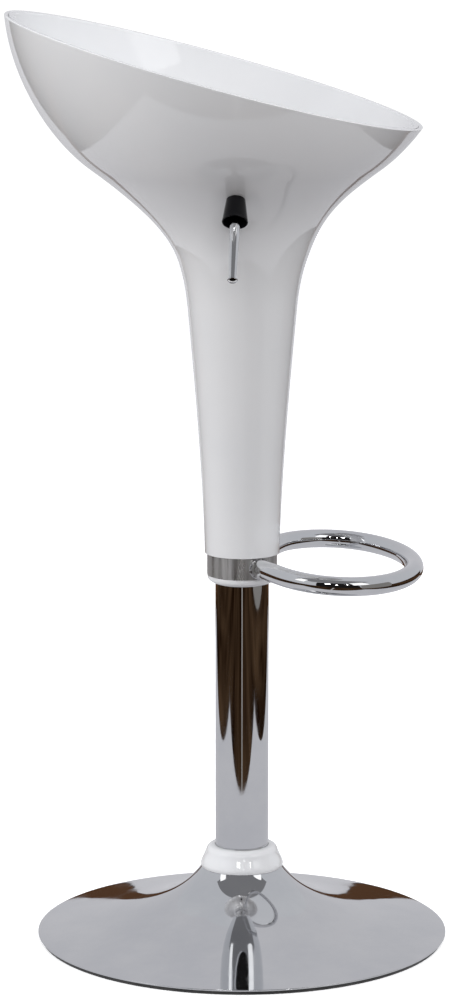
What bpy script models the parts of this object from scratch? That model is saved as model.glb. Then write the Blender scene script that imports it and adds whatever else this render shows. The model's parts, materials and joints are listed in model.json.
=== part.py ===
"""Adjustable swivel stool on a gas lift: white moulded seat, chromed column, footrest and base.

+Z is up, +X is the low front of the seat, and the origin is on the floor under the column.
The stool stands fully raised. All sizes are in metres.
"""

from math import atan2, cos, hypot, pi, radians, sin, sqrt, tan

import bmesh
import bpy
from mathutils import Vector

# ---- fits ----
TOUCH = 0.0003  # between pieces that rest on or in each other
SLIDE = 0.0003  # radial clearance of a sliding or turning fit
GLUE_GAP = 0.0006  # between the shell and the dish bonded into it
EDGE_CHAMFER = 0.001
MERGE_DISTANCE = 0.000005
DRILL_LENGTH = 0.03  # of the cutters for holes
SLOPE_STEP = 0.004  # half the height over which a slope is taken

# ---- base ----
BASE_RADIUS = 0.1935
PAD_THICKNESS = 0.003
PAD_INSET = 0.003
COVER_WALL = 0.0015
COVER_RIM_HEIGHT = 0.0052
COVER_NECK_HANDLE = (0.026, 0.0435)  # out from the neck and down from it
COVER_RIM_HANDLE = (0.0835, 0.015)  # in from the rim and up from it
NECK_OUTSIDE_COLUMN = 0.009
NECK_HEIGHT = 0.0735
BALLAST_RADIUS = 0.120
BALLAST_THICKNESS = 0.010
BALLAST_HOLE_RADIUS = 0.011
SOCKET_WALL = 0.0032
SOCKET_HEIGHT = 0.046
SOCKET_FLANGE_RADIUS = 0.050
SOCKET_FLANGE_THICKNESS = 0.004
BASE_RING_HEIGHT = 0.0205
RING_FOOT_OUTSIDE_COLUMN = 0.0136
RING_TOP_OUTSIDE_COLUMN = 0.007
RING_SHOULDER = ((-0.004, 0), (-0.0005, 0), (0.0015, 0.003), (0.0028, 0.008))  # out and down
RING_BEAD = 0.004

# ---- column ----
COLUMN_RADIUS = 0.025
COLUMN_WALL = 0.0015
COLUMN_LENGTH = 0.4061
FOOT_THICKNESS = 0.004
FOOT_RISE = 0.008  # foot plate above the column's lower end
SLEEVE_LENGTH = 0.110
SLEEVE_LIP = 0.003
SLEEVE_LIP_INSET = 0.0002  # from the column's outer face

# ---- gas spring ----
STROKE = 0.210
TUBE_RADIUS = 0.014
TUBE_WALL = 0.0025
TUBE_BELOW_SLEEVE = 0.010
TUBE_PROUD = 0.0005  # of the mounting plate
ROD_RADIUS = 0.005
ROD_STEP_RADIUS = 0.0038
ROD_BELOW_FOOT = 0.0043
CLIP_WIDTH = 0.0049
CLIP_THICKNESS = 0.002
PISTON_LENGTH = 0.014
END_GUIDE_LENGTH = 0.018
VALVE_LENGTH = 0.046
VALVE_PROUD = 0.0003  # of the pressure tube
PISTON_CLEARANCE = 0.004  # above the end guide with the seat raised
PIN_RADIUS = 0.003
PIN_LENGTH = 0.040

# ---- thrust bearing under the rod ----
RACE_OUTSIDE_ROD = 0.008
RACE_BORE_OUTSIDE_ROD = 0.0015
RACE_THICKNESS = 0.002
BALL_RADIUS = 0.0022
BALL_COUNT = 8
CAGE_THICKNESS = 0.0016
CAGE_MARGIN = 0.0004  # inside the edges of the races
BUMP_STOP_WALL = 0.0067
BUMP_STOP_MARGIN = 0.003  # left under the pressure tube at its lowest

# ---- seat support ----
HUB_CLEARANCE = 0.0117  # hub above the guide sleeve at the lowest seat
HUB_LENGTH = 0.0457
HUB_WALL = 0.0047
PLATE_THICKNESS = 0.003
PLATE_TO_SHELL = 0.005
PLATE_CORNER = 0.008
BOLT_INSET = 0.0125
BOLT_RADIUS = 0.0029
BOLT_HEAD_RADIUS = 0.005
BOLT_HEAD_HEIGHT = 0.0044
BOLT_GRIP = 0.0145  # thread above the plate's top face
BOLT_POINT = 0.0006
BOLT_END_GAP = 0.001  # left in the boss above the bolt
WASHER_RADIUS = 0.0065
WASHER_THICKNESS = 0.0015
BOSS_RADIUS = 0.0065
CHANNEL_HEIGHT = 0.018  # room for the lever between the plate and the dish

# ---- seat shell and dish ----
GUIDE_OVERLAP = 0.0503  # column inside the skirt with the seat raised
SKIRT_OUTSIDE_COLUMN = 0.0098
STEM_SPREAD = 0.0157  # from the skirt to where the stem starts to flare
SEAT_RADIUS = 0.211
SEAT_SETBACK = 0.006  # the bowl's centre behind the column's axis
SETBACK_STARTS = 0.122  # below the front rim
SETBACK_FULL = 0.057  # below the front rim
FRONT_DEPTH = 0.051  # from the dish's floor to the front rim
BACK_RISE = 0.104  # from the front rim to the back rim
FLARE_DROP = 0.1676  # from the front rim down to the start of the flare
SHOULDER_DROP = 0.0382  # from the front rim down to the end of the flare
SHOULDER_INSET = 0.0771
STEM_HANDLES = ((0.15, 0.35), (0.54, 0.655))  # shares of the way out and of the way up
FLARE_HANDLES = ((0.068, 0.484), (0.333, 0.688))
BOWL_HANDLES = ((0.5, 0.197), (0.943, 0.597))
SHELL_WALL = 0.0035
LEDGE_REACH = 0.0008  # clearance of the shell's inner ledge to the column
LEDGE_THICKNESS = 0.005
LEDGE_MARGIN = 0.003  # from the ledge to the next level of the inner face
DISH_WALL = 0.004
DISH_JOIN_DROP = 0.006  # from the front rim down to where the dish meets the shell
DISH_HANDLES = (0.5, 0.030)  # share of the dish's radius at its floor, reach at its side

# ---- footrest ----
COLLAR_OUTSIDE_COLUMN = 0.00775
COLLAR_WALL = 0.0015
COLLAR_HEIGHT = 0.020
BUSH_LIP_HEIGHT = 0.0074
BUSH_LIP_EDGE = 0.001  # the lip's lower edge beyond the bush's bore
BUSH_LIP_INSET = 0.0003  # from the collar's outer face
BUSH_LIP_HANDLES = (0.0035, 0.003, 0.0012)  # down from the lip's side, out and up from its edge
BUSH_SLEEVE_HEIGHT = 0.038
LOOP_TUBE_RADIUS = 0.00875
LOOP_REACH = 0.1606  # column axis to the middle of the tube at the front
LOOP_START = 0.0154
LOOP_HALF_WIDTH = 0.1105
LOOP_RISE = 0.0075  # the loop's plane above the weld, at the column's axis
LOOP_SLOPE = radians(3.5)
LOOP_SETTLE = radians(34)  # turn over which the loop rises off the weld into its plane
LOOP_POINTS = 36
WELD_STEP = radians(0.25)  # of the search for where the loop leaves the collar

# ---- lever ----
LEVER_RADIUS = 0.004
LEVER_INNER_END = 0.006
PIVOT_ARM = 0.052  # column axis to the lever's pivot pin
PIVOT_RISE = 0.010  # above the mounting plate
PIVOT_PIN_RADIUS = 0.002
PIVOT_PIN_LENGTH = 0.018
BRACKET_LENGTH = 0.018
BRACKET_WALL = 0.003
BRACKET_FLOOR = 0.002
BRACKET_RISE = 0.0065  # cheeks above the pivot pin's middle
LEVER_EXIT_RISE = 0.0075  # the way out of the shell, above the pivot
LEVER_BEND_RADIUS = 0.009
LEVER_BEND_DEPTH = 0.85  # share of the shell's wall
LEVER_STUB = 0.012  # shaft outside the shell
HOLE_OUTSIDE_LEVER = 0.0032
GROOVE_CLEARANCE = 0.0012
HOOD_LENGTH = 0.024
HOOD_OUTSIDE_HOLE = 0.0014
HOOD_SPREAD = 0.0031  # from the base of the bell to its mouth
HOOD_WALL = 0.001
HOOD_STANDOFF = 0.0007
HOOD_HANDLES = ((0.0013, 0.6), (0.0008, 0.25))  # in from the mouth, out from the base; share of length
HANDLE_END = 0.0835  # from the shell to the end of the handle
HANDLE_OUTSIDE_LEVER = 0.0011
HANDLE_END_RADIUS = 0.0032
HANDLE_CHAMFER = 0.0006
TIP_RADIUS = 0.0046
TIP_THICKNESS = 0.0016
TIP_CHAMFER = 0.0005

# ---- facets ----
WIDE_STEPS = 36
TUBE_STEPS = 24
SMALL_STEPS = 12
BALL_STEPS = (6, 4)
COVER_FACETS = 9
STEM_FACETS = 3
FLARE_FACETS = 7
BOWL_FACETS = 6
DISH_FACETS = 6
ROUNDING_FACETS = 3
HOOD_FACETS = 4
BEND_FACETS = 5
BAR_RESOLUTION = 2

# ---- radii that follow ----
NECK_RADIUS = COLUMN_RADIUS + NECK_OUTSIDE_COLUMN
BASE_RING_FOOT_RADIUS = COLUMN_RADIUS + RING_FOOT_OUTSIDE_COLUMN
BASE_RING_TOP_RADIUS = COLUMN_RADIUS + RING_TOP_OUTSIDE_COLUMN
COLUMN_BORE = COLUMN_RADIUS - COLUMN_WALL
BUSH_BORE = COLUMN_RADIUS + SLIDE
BUSH_LIP_FOOT = BUSH_BORE + BUSH_LIP_EDGE
COLLAR_RADIUS = COLUMN_RADIUS + COLLAR_OUTSIDE_COLUMN
SKIRT_RADIUS = COLUMN_RADIUS + SKIRT_OUTSIDE_COLUMN
STEM_RADIUS = SKIRT_RADIUS + STEM_SPREAD
TUBE_BORE = TUBE_RADIUS - TUBE_WALL
HUB_RADIUS = TUBE_RADIUS + TOUCH + HUB_WALL
CLIP_RADIUS = ROD_STEP_RADIUS + TOUCH + CLIP_WIDTH
RACE_RADIUS = ROD_RADIUS + RACE_OUTSIDE_ROD
RACE_BORE_RADIUS = ROD_RADIUS + RACE_BORE_OUTSIDE_ROD
BUMP_STOP_RADIUS = ROD_RADIUS + TOUCH + BUMP_STOP_WALL
HOLE_RADIUS = LEVER_RADIUS + HOLE_OUTSIDE_LEVER
HOOD_BASE_RADIUS = HOLE_RADIUS + HOOD_OUTSIDE_HOLE
HOOD_MOUTH_RADIUS = HOOD_BASE_RADIUS + HOOD_SPREAD
HANDLE_TOP_RADIUS = LEVER_RADIUS + HANDLE_OUTSIDE_LEVER

# ---- heights that follow ----
PAD_TOP = PAD_THICKNESS
BALLAST_BOTTOM = PAD_TOP + TOUCH
BALLAST_TOP = BALLAST_BOTTOM + BALLAST_THICKNESS
COLUMN_BOTTOM = BALLAST_TOP + TOUCH
COLUMN_TOP = COLUMN_BOTTOM + COLUMN_LENGTH
FOOT_BOTTOM = COLUMN_BOTTOM + FOOT_RISE
FOOT_TOP = FOOT_BOTTOM + FOOT_THICKNESS
LOWER_RACE_BOTTOM = FOOT_TOP + TOUCH
BALL_MIDDLE = LOWER_RACE_BOTTOM + RACE_THICKNESS + TOUCH + BALL_RADIUS
UPPER_RACE_BOTTOM = BALL_MIDDLE + BALL_RADIUS + TOUCH
ROD_SHOULDER = UPPER_RACE_BOTTOM + RACE_THICKNESS + TOUCH
SLEEVE_BOTTOM = COLUMN_TOP - SLEEVE_LENGTH
SLEEVE_TOP = COLUMN_TOP + TOUCH + SLEEVE_LIP
TUBE_BOTTOM = SLEEVE_BOTTOM - TUBE_BELOW_SLEEVE
PISTON_BOTTOM = TUBE_BOTTOM + END_GUIDE_LENGTH + PISTON_CLEARANCE
HUB_BOTTOM = SLEEVE_TOP + STROKE + HUB_CLEARANCE
PLATE_BOTTOM = HUB_BOTTOM + HUB_LENGTH + TOUCH
PLATE_TOP = PLATE_BOTTOM + PLATE_THICKNESS
TUBE_TOP = PLATE_TOP + TUBE_PROUD
VALVE_TOP = TUBE_TOP + VALVE_PROUD
PIVOT_HEIGHT = PLATE_TOP + PIVOT_RISE
PIN_TOP = PIVOT_HEIGHT - LEVER_RADIUS - TOUCH
DISH_UNDERSIDE = PLATE_TOP + CHANNEL_HEIGHT
DISH_FLOOR = DISH_UNDERSIDE + DISH_WALL
FRONT_RIM = DISH_FLOOR + FRONT_DEPTH
BACK_RIM = FRONT_RIM + BACK_RISE
SKIRT_BOTTOM = COLUMN_TOP - GUIDE_OVERLAP
COLLAR_TOP = SKIRT_BOTTOM - TOUCH
COLLAR_BOTTOM = COLLAR_TOP - COLLAR_HEIGHT
BUSH_LIP_TOP = COLLAR_BOTTOM - TOUCH
BUSH_BOTTOM = BUSH_LIP_TOP - BUSH_LIP_HEIGHT
BUSH_TOP = BUSH_LIP_TOP + BUSH_SLEEVE_HEIGHT
LOOP_WELD = (COLLAR_TOP + COLLAR_BOTTOM) / 2


# ---------------------------------------------------------------- outlines


def bezier(start, handle_a, handle_b, end, count):
    """Points of a cubic curve, the first one included and the last one too."""
    points = []
    for i in range(count + 1):
        t = i / count
        weights = ((1 - t) ** 3, 3 * (1 - t) ** 2 * t, 3 * (1 - t) * t**2, t**3)
        corners = (start, handle_a, handle_b, end)
        points.append(tuple(sum(w * c[k] for w, c in zip(weights, corners)) for k in (0, 1)))
    return points


def offset(points, distance):
    """The outline moved to its left by distance; an outline that climbs moves inwards."""
    moved = []
    for i, (r, z) in enumerate(points):
        before = points[max(i - 1, 0)]
        after = points[min(i + 1, len(points) - 1)]
        along = Vector((after[0] - before[0], after[1] - before[1])).normalized()
        moved.append((r - along.y * distance, z + along.x * distance))
    return moved


def radius_at(points, height):
    """The radius of a climbing outline at a height."""
    for (r0, z0), (r1, z1) in zip(points, points[1:]):
        if z0 <= height <= z1:
            return r0 + (r1 - r0) * (height - z0) / (z1 - z0)
    return points[-1][0]


def height_at(points, radius):
    """The height of a spreading outline at a radius."""
    for (r0, z0), (r1, z1) in zip(points, points[1:]):
        if r0 <= radius <= r1:
            return z0 + (z1 - z0) * (radius - r0) / (r1 - r0)
    return points[-1][1]


def slope_at(points, height):
    """The angle of a climbing outline above the horizontal, at a height."""
    low = radius_at(points, height - SLOPE_STEP)
    high = radius_at(points, height + SLOPE_STEP)
    return atan2(2 * SLOPE_STEP, high - low)


def shell_outline():
    """The shell's outer face from the skirt's lower edge to above the back rim."""
    skirt = (SKIRT_RADIUS, SKIRT_BOTTOM)
    stem = (STEM_RADIUS, FRONT_RIM - FLARE_DROP)
    shoulder = (SEAT_RADIUS - SHOULDER_INSET, FRONT_RIM - SHOULDER_DROP)
    rim = (SEAT_RADIUS, BACK_RIM)

    def stretch(start, end, handles, count):
        """A curve whose handles are given as shares of the way from its start to its end."""
        a, b = ([start[k] + (end[k] - start[k]) * share[k] for k in (0, 1)] for share in handles)
        return bezier(start, a, b, end, count)

    stem_part = stretch(skirt, stem, STEM_HANDLES, STEM_FACETS)
    flare = stretch(stem, shoulder, FLARE_HANDLES, FLARE_FACETS)
    bowl = stretch(shoulder, rim, BOWL_HANDLES, BOWL_FACETS)
    above = (2 * bowl[-1][0] - bowl[-2][0], 2 * bowl[-1][1] - bowl[-2][1])
    return stem_part + flare[1:] + bowl[1:] + [above]


SHELL = shell_outline()
SHELL_INNER = offset(SHELL, SHELL_WALL)
RIM_BACK_X = -(SEAT_RADIUS + SEAT_SETBACK)
RIM_FRONT_X = radius_at(SHELL, FRONT_RIM) - SEAT_SETBACK
PLATE_HALF = (radius_at(SHELL_INNER, PLATE_BOTTOM) - PLATE_TO_SHELL) / sqrt(2)
BOLT_OFFSET = PLATE_HALF - BOLT_INSET


def setback(height):
    """How far the bowl's centre lies behind the axis at a height: none in the stem."""
    low = FRONT_RIM - SETBACK_STARTS
    high = FRONT_RIM - SETBACK_FULL
    t = min(max((height - low) / (high - low), 0), 1)
    return SEAT_SETBACK * t * t * (3 - 2 * t)


# The lever leaves the shell square to its surface.
EXIT_HEIGHT = PIVOT_HEIGHT + LEVER_EXIT_RISE
EXIT_RADIUS = sqrt(radius_at(SHELL, EXIT_HEIGHT) ** 2 - setback(EXIT_HEIGHT) ** 2)
EXIT_ANGLE = pi / 2 - slope_at(SHELL, EXIT_HEIGHT)  # below the horizontal
EXIT = Vector((0, -EXIT_RADIUS, EXIT_HEIGHT))
EXIT_DIRECTION = Vector((0, -cos(EXIT_ANGLE), -sin(EXIT_ANGLE)))
INNER_LEG_START = Vector((0, -PIVOT_ARM - BRACKET_LENGTH / 2, PIVOT_HEIGHT))
LEVER_CORNER = EXIT - EXIT_DIRECTION * (SHELL_WALL * LEVER_BEND_DEPTH)
INNER_LEG = (LEVER_CORNER - INNER_LEG_START).normalized()

# ---------------------------------------------------------------- scene and tools

for old in list(bpy.data.objects):
    bpy.data.objects.remove(old, do_unlink=True)

PARTS = bpy.data.collections.new("adjustable_swivel_stool")
CUTTERS = bpy.data.collections.new("cutters")
bpy.context.scene.collection.children.link(PARTS)
bpy.context.scene.collection.children.link(CUTTERS)


def finish(name, colour, roughness, metallic):
    material = bpy.data.materials.new(name)
    material.use_nodes = True
    shader = material.node_tree.nodes["Principled BSDF"]
    shader.inputs["Base Color"].default_value = (*colour, 1)
    shader.inputs["Roughness"].default_value = roughness
    shader.inputs["Metallic"].default_value = metallic
    material.diffuse_color = (*colour, 1)
    return material


WHITE = finish("gloss_white_plastic", (0.86, 0.86, 0.87), 0.12, 0.0)
CHROME = finish("chrome", (0.75, 0.76, 0.78), 0.06, 1.0)
BRUSHED = finish("brushed_steel", (0.45, 0.45, 0.45), 0.3, 1.0)
STEEL = finish("plain_steel", (0.52, 0.52, 0.53), 0.4, 1.0)
BLACK_PAINT = finish("black_painted_steel", (0.03, 0.03, 0.03), 0.45, 0.0)
LACQUER = finish("black_lacquer", (0.012, 0.012, 0.013), 0.08, 0.0)
NYLON = finish("black_nylon", (0.04, 0.04, 0.045), 0.5, 0.0)
RUBBER = finish("black_rubber", (0.02, 0.02, 0.02), 0.8, 0.0)
IRON = finish("cast_iron", (0.16, 0.15, 0.15), 0.7, 0.6)


def carried(obj, carrier):
    """Hangs an object on a pivot; its own place stays in world coordinates."""
    if carrier:
        obj.parent = carrier
        obj.matrix_parent_inverse = carrier.matrix_world.inverted()
    bpy.context.view_layer.update()
    return obj


def place(obj, carrier, collection=PARTS):
    collection.objects.link(obj)
    return carried(obj, carrier)


def pivot(name, location, parent=None):
    """An empty on a joint's axis."""
    empty = bpy.data.objects.new(name, None)
    empty.location = location
    return place(empty, parent)


def solid(name, bm, material, carrier):
    """A named piece from a bmesh."""
    mesh = bpy.data.meshes.new(name)
    bm.to_mesh(mesh)
    bm.free()
    mesh.materials.append(material)
    return place(bpy.data.objects.new(name, mesh), carrier)


def turned(name, outline, material, carrier, steps=TUBE_STEPS, closed=False):
    """A profile of (radius, height) points turned about +Z by a Screw modifier.

    An outline runs down the outer side. A closed one comes back up the inner side.
    """
    mesh = bpy.data.meshes.new(name)
    edges = [(i, i + 1) for i in range(len(outline) - 1)]
    if closed:
        edges.append((len(outline) - 1, 0))
    mesh.from_pydata([(r, 0, z) for r, z in outline], edges, [])
    mesh.materials.append(material)
    obj = place(bpy.data.objects.new(name, mesh), carrier)
    screw = obj.modifiers.new("turn", "SCREW")
    screw.steps = steps
    screw.render_steps = steps
    screw.use_merge_vertices = True
    screw.merge_threshold = MERGE_DISTANCE
    screw.use_smooth_shade = True
    return obj


def tube(name, outer, inner, bottom, top, material, carrier, steps=TUBE_STEPS):
    """A plain ring or tube."""
    outline = [(outer, top), (outer, bottom), (inner, bottom), (inner, top)]
    return turned(name, outline, material, carrier, steps, closed=True)


def rod(name, radius, bottom, top, material, carrier, steps=SMALL_STEPS):
    """A plain round bar."""
    outline = [(0, top), (radius, top), (radius, bottom), (0, bottom)]
    return turned(name, outline, material, carrier, steps)


def made_real(obj):
    """Replaces an object's data and modifiers by the mesh that they make."""
    graph = bpy.context.evaluated_depsgraph_get()
    mesh = bpy.data.meshes.new_from_object(obj.evaluated_get(graph))
    bm = bmesh.new()
    bm.from_mesh(mesh)
    bmesh.ops.remove_doubles(bm, verts=bm.verts, dist=MERGE_DISTANCE)
    bm.to_mesh(mesh)
    bm.free()
    name = obj.name
    fresh = bpy.data.objects.new(name + "_mesh", mesh)
    carrier = obj.parent
    world = obj.matrix_world.copy()
    bpy.data.objects.remove(obj)
    fresh.name = name
    place(fresh, carrier)
    fresh.matrix_world = world
    return fresh


def cutter(name, bm, location=(0, 0, 0), rotation=None):
    mesh = bpy.data.meshes.new(name)
    bmesh.ops.recalc_face_normals(bm, faces=bm.faces)
    bm.to_mesh(mesh)
    bm.free()
    obj = bpy.data.objects.new(name, mesh)
    obj.location = location
    if rotation:
        obj.rotation_mode = "QUATERNION"
        obj.rotation_quaternion = rotation
    obj.hide_render = True
    obj.display_type = "WIRE"
    return place(obj, None, CUTTERS)


def box(size, centre=(0, 0, 0)):
    bm = bmesh.new()
    bmesh.ops.create_cube(bm, size=1)
    bmesh.ops.scale(bm, vec=size, verts=bm.verts)
    bmesh.ops.translate(bm, vec=centre, verts=bm.verts)
    return bm


def cylinder(radius, length=DRILL_LENGTH, steps=SMALL_STEPS):
    bm = bmesh.new()
    bmesh.ops.create_cone(
        bm, cap_ends=True, segments=steps, radius1=radius, radius2=radius, depth=length
    )
    return bm


def combine(obj, other, operation="DIFFERENCE"):
    modifier = obj.modifiers.new(other.name, "BOOLEAN")
    modifier.operation = operation
    modifier.solver = "EXACT"
    modifier.object = other


def round_bar(name, radius, path, material, carrier, cyclic=False):
    """A round bar bent along a path."""
    curve = bpy.data.curves.new(name, "CURVE")
    curve.dimensions = "3D"
    curve.bevel_depth = radius
    curve.bevel_resolution = BAR_RESOLUTION
    curve.use_fill_caps = True
    spline = curve.splines.new("POLY")
    spline.points.add(len(path) - 1)
    spline.use_cyclic_u = cyclic
    for point, spot in zip(spline.points, path):
        point.co = (*spot, 1)
    curve.materials.append(material)
    return made_real(place(bpy.data.objects.new(name, curve), carrier))


def square_to(direction):
    """The turn that takes +Z to a direction."""
    return Vector((0, 0, 1)).rotation_difference(direction)


def turn_to(obj, direction, location):
    obj.rotation_mode = "QUATERNION"
    obj.rotation_quaternion = square_to(direction)
    obj.location = location


# ---------------------------------------------------------------- base


def cover_outline():
    """The base cover's outer face, from the neck out to the rim."""
    neck = (NECK_RADIUS, NECK_HEIGHT)
    rim = (BASE_RADIUS, COVER_RIM_HEIGHT)
    throat = (neck[0] + COVER_NECK_HANDLE[0], neck[1] - COVER_NECK_HANDLE[1])
    skirt = (rim[0] - COVER_RIM_HANDLE[0], rim[1] + COVER_RIM_HANDLE[1])
    return bezier(neck, throat, skirt, rim, COVER_FACETS)


def make_base():
    root = pivot("base_frame", (0, 0, 0))
    pad_radius = BASE_RADIUS - PAD_INSET
    rod("floor_pad", pad_radius, 0, PAD_TOP, RUBBER, root, WIDE_STEPS)
    tube(
        "ballast_plate",
        BALLAST_RADIUS,
        BALLAST_HOLE_RADIUS,
        BALLAST_BOTTOM,
        BALLAST_TOP,
        IRON,
        root,
        WIDE_STEPS,
    )

    outer = cover_outline()
    inner = offset(outer, -COVER_WALL)
    turned("base_cover", outer + inner[::-1], CHROME, root, WIDE_STEPS, closed=True)

    bore = COLUMN_RADIUS + TOUCH
    wall = bore + SOCKET_WALL
    bottom = BALLAST_TOP + TOUCH
    flange = bottom + SOCKET_FLANGE_THICKNESS
    socket = [
        (wall, bottom + SOCKET_HEIGHT),
        (wall, flange),
        (SOCKET_FLANGE_RADIUS, flange),
        (SOCKET_FLANGE_RADIUS, bottom),
        (bore, bottom),
        (bore, bottom + SOCKET_HEIGHT),
    ]
    turned("column_socket", socket, STEEL, root, closed=True)

    # The ring stands on the cover's neck; its shoulder is rounded and its foot is a small bead.
    foot = height_at(outer, BASE_RING_FOOT_RADIUS) + 2 * TOUCH
    top = foot + BASE_RING_HEIGHT
    corners = [(BASE_RING_TOP_RADIUS + out, top - down) for out, down in RING_SHOULDER]
    shoulder = bezier(*corners, ROUNDING_FACETS)
    seat_on_neck = NECK_HEIGHT + 2 * TOUCH
    ring = shoulder + [
        (BASE_RING_FOOT_RADIUS, foot + RING_BEAD),
        (BASE_RING_FOOT_RADIUS, foot),
        (NECK_RADIUS, seat_on_neck),
        (bore, seat_on_neck),
        (bore, top),
    ]
    turned("base_ring", ring, WHITE, root, WIDE_STEPS, closed=True)
    return root


def make_column(root):
    tube("column_tube", COLUMN_RADIUS, COLUMN_BORE, COLUMN_BOTTOM, COLUMN_TOP, CHROME, root)
    tube(
        "column_foot",
        COLUMN_BORE - TOUCH,
        ROD_STEP_RADIUS + SLIDE,
        FOOT_BOTTOM,
        FOOT_TOP,
        STEEL,
        root,
    )
    bore = TUBE_RADIUS + SLIDE
    barrel = COLUMN_BORE - TOUCH
    lip = COLUMN_RADIUS - SLEEVE_LIP_INSET
    sleeve = [
        (lip - EDGE_CHAMFER, SLEEVE_TOP),
        (lip, SLEEVE_TOP - EDGE_CHAMFER),
        (lip, COLUMN_TOP + TOUCH),
        (barrel, COLUMN_TOP + TOUCH),
        (barrel, SLEEVE_BOTTOM),
        (bore, SLEEVE_BOTTOM),
        (bore, SLEEVE_TOP),
    ]
    turned("guide_sleeve", sleeve, NYLON, root, closed=True)


def make_bearing(root, spindle):
    tube(
        "lower_race",
        RACE_RADIUS,
        RACE_BORE_RADIUS,
        LOWER_RACE_BOTTOM,
        LOWER_RACE_BOTTOM + RACE_THICKNESS,
        STEEL,
        root,
        SMALL_STEPS,
    )
    cage = tube(
        "ball_cage",
        RACE_RADIUS - CAGE_MARGIN,
        RACE_BORE_RADIUS + CAGE_MARGIN,
        BALL_MIDDLE - CAGE_THICKNESS / 2,
        BALL_MIDDLE + CAGE_THICKNESS / 2,
        STEEL,
        root,
        SMALL_STEPS,
    )
    bm = bmesh.new()
    ring = (RACE_RADIUS + RACE_BORE_RADIUS) / 2
    around, down = BALL_STEPS
    for i in range(BALL_COUNT):
        ball = bmesh.ops.create_uvsphere(
            bm, u_segments=around, v_segments=down, radius=BALL_RADIUS
        )
        turn = 2 * pi * i / BALL_COUNT
        spot = (ring * cos(turn), ring * sin(turn), BALL_MIDDLE)
        bmesh.ops.translate(bm, vec=spot, verts=ball["verts"])
    combine(cage, cutter("cage_balls", bm), "UNION")
    tube(
        "upper_race",
        RACE_RADIUS,
        ROD_STEP_RADIUS + TOUCH,
        UPPER_RACE_BOTTOM,
        UPPER_RACE_BOTTOM + RACE_THICKNESS,
        STEEL,
        spindle,
        SMALL_STEPS,
    )


# ---------------------------------------------------------------- gas spring


def make_spindle(root):
    spindle = pivot("swivel_axis", (0, 0, ROD_SHOULDER), root)
    rod_bottom = FOOT_BOTTOM - ROD_BELOW_FOOT
    outline = [
        (0, PISTON_BOTTOM - TOUCH),
        (ROD_RADIUS, PISTON_BOTTOM - TOUCH),
        (ROD_RADIUS, ROD_SHOULDER),
        (ROD_STEP_RADIUS, ROD_SHOULDER),
        (ROD_STEP_RADIUS, rod_bottom),
        (0, rod_bottom),
    ]
    turned("piston_rod", outline, CHROME, spindle, SMALL_STEPS)
    rod(
        "piston",
        TUBE_BORE - SLIDE,
        PISTON_BOTTOM,
        PISTON_BOTTOM + PISTON_LENGTH,
        NYLON,
        spindle,
        SMALL_STEPS,
    )
    clip_top = FOOT_BOTTOM - TOUCH
    tube(
        "rod_clip",
        CLIP_RADIUS,
        ROD_STEP_RADIUS + TOUCH,
        clip_top - CLIP_THICKNESS,
        clip_top,
        STEEL,
        spindle,
        SMALL_STEPS,
    )
    tube(
        "bump_stop",
        BUMP_STOP_RADIUS,
        ROD_RADIUS + TOUCH,
        ROD_SHOULDER + TOUCH,
        TUBE_BOTTOM - STROKE - BUMP_STOP_MARGIN,
        RUBBER,
        spindle,
        SMALL_STEPS,
    )
    return spindle


def make_pressure_tube(seat):
    tube("pressure_tube", TUBE_RADIUS, TUBE_BORE, TUBE_BOTTOM, TUBE_TOP, BLACK_PAINT, seat)
    plug = TUBE_BORE - TOUCH
    tube(
        "tube_end_guide",
        plug,
        ROD_RADIUS + SLIDE,
        TUBE_BOTTOM,
        TUBE_BOTTOM + END_GUIDE_LENGTH,
        NYLON,
        seat,
        SMALL_STEPS,
    )
    tube(
        "valve_body",
        plug,
        PIN_RADIUS + SLIDE,
        VALVE_TOP - VALVE_LENGTH,
        VALVE_TOP,
        STEEL,
        seat,
        SMALL_STEPS,
    )


# ---------------------------------------------------------------- seat support


def bolt_spots():
    return [(x * BOLT_OFFSET, y * BOLT_OFFSET) for x in (1, -1) for y in (1, -1)]


def make_plate(seat):
    bm = box((2 * PLATE_HALF, 2 * PLATE_HALF, PLATE_THICKNESS))
    corners = [
        e for e in bm.edges if abs(e.verts[0].co.z - e.verts[1].co.z) > PLATE_THICKNESS / 2
    ]
    bmesh.ops.bevel(
        bm, geom=corners, offset=PLATE_CORNER, segments=ROUNDING_FACETS, affect="EDGES"
    )
    plate = solid("mounting_plate", bm, BLACK_PAINT, None)
    plate.location = (0, 0, PLATE_BOTTOM + PLATE_THICKNESS / 2)
    carried(plate, seat)
    bore = cylinder(TUBE_RADIUS + TOUCH, steps=TUBE_STEPS)
    combine(plate, cutter("plate_bore", bore, (0, 0, PLATE_BOTTOM)))
    for i, (x, y) in enumerate(bolt_spots(), 1):
        hole = cylinder(BOLT_RADIUS + TOUCH)
        combine(plate, cutter(f"plate_hole_{i}", hole, (x, y, PLATE_BOTTOM)))
    tube(
        "taper_hub",
        HUB_RADIUS,
        TUBE_RADIUS + TOUCH,
        HUB_BOTTOM,
        PLATE_BOTTOM - TOUCH,
        BLACK_PAINT,
        seat,
    )


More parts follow.
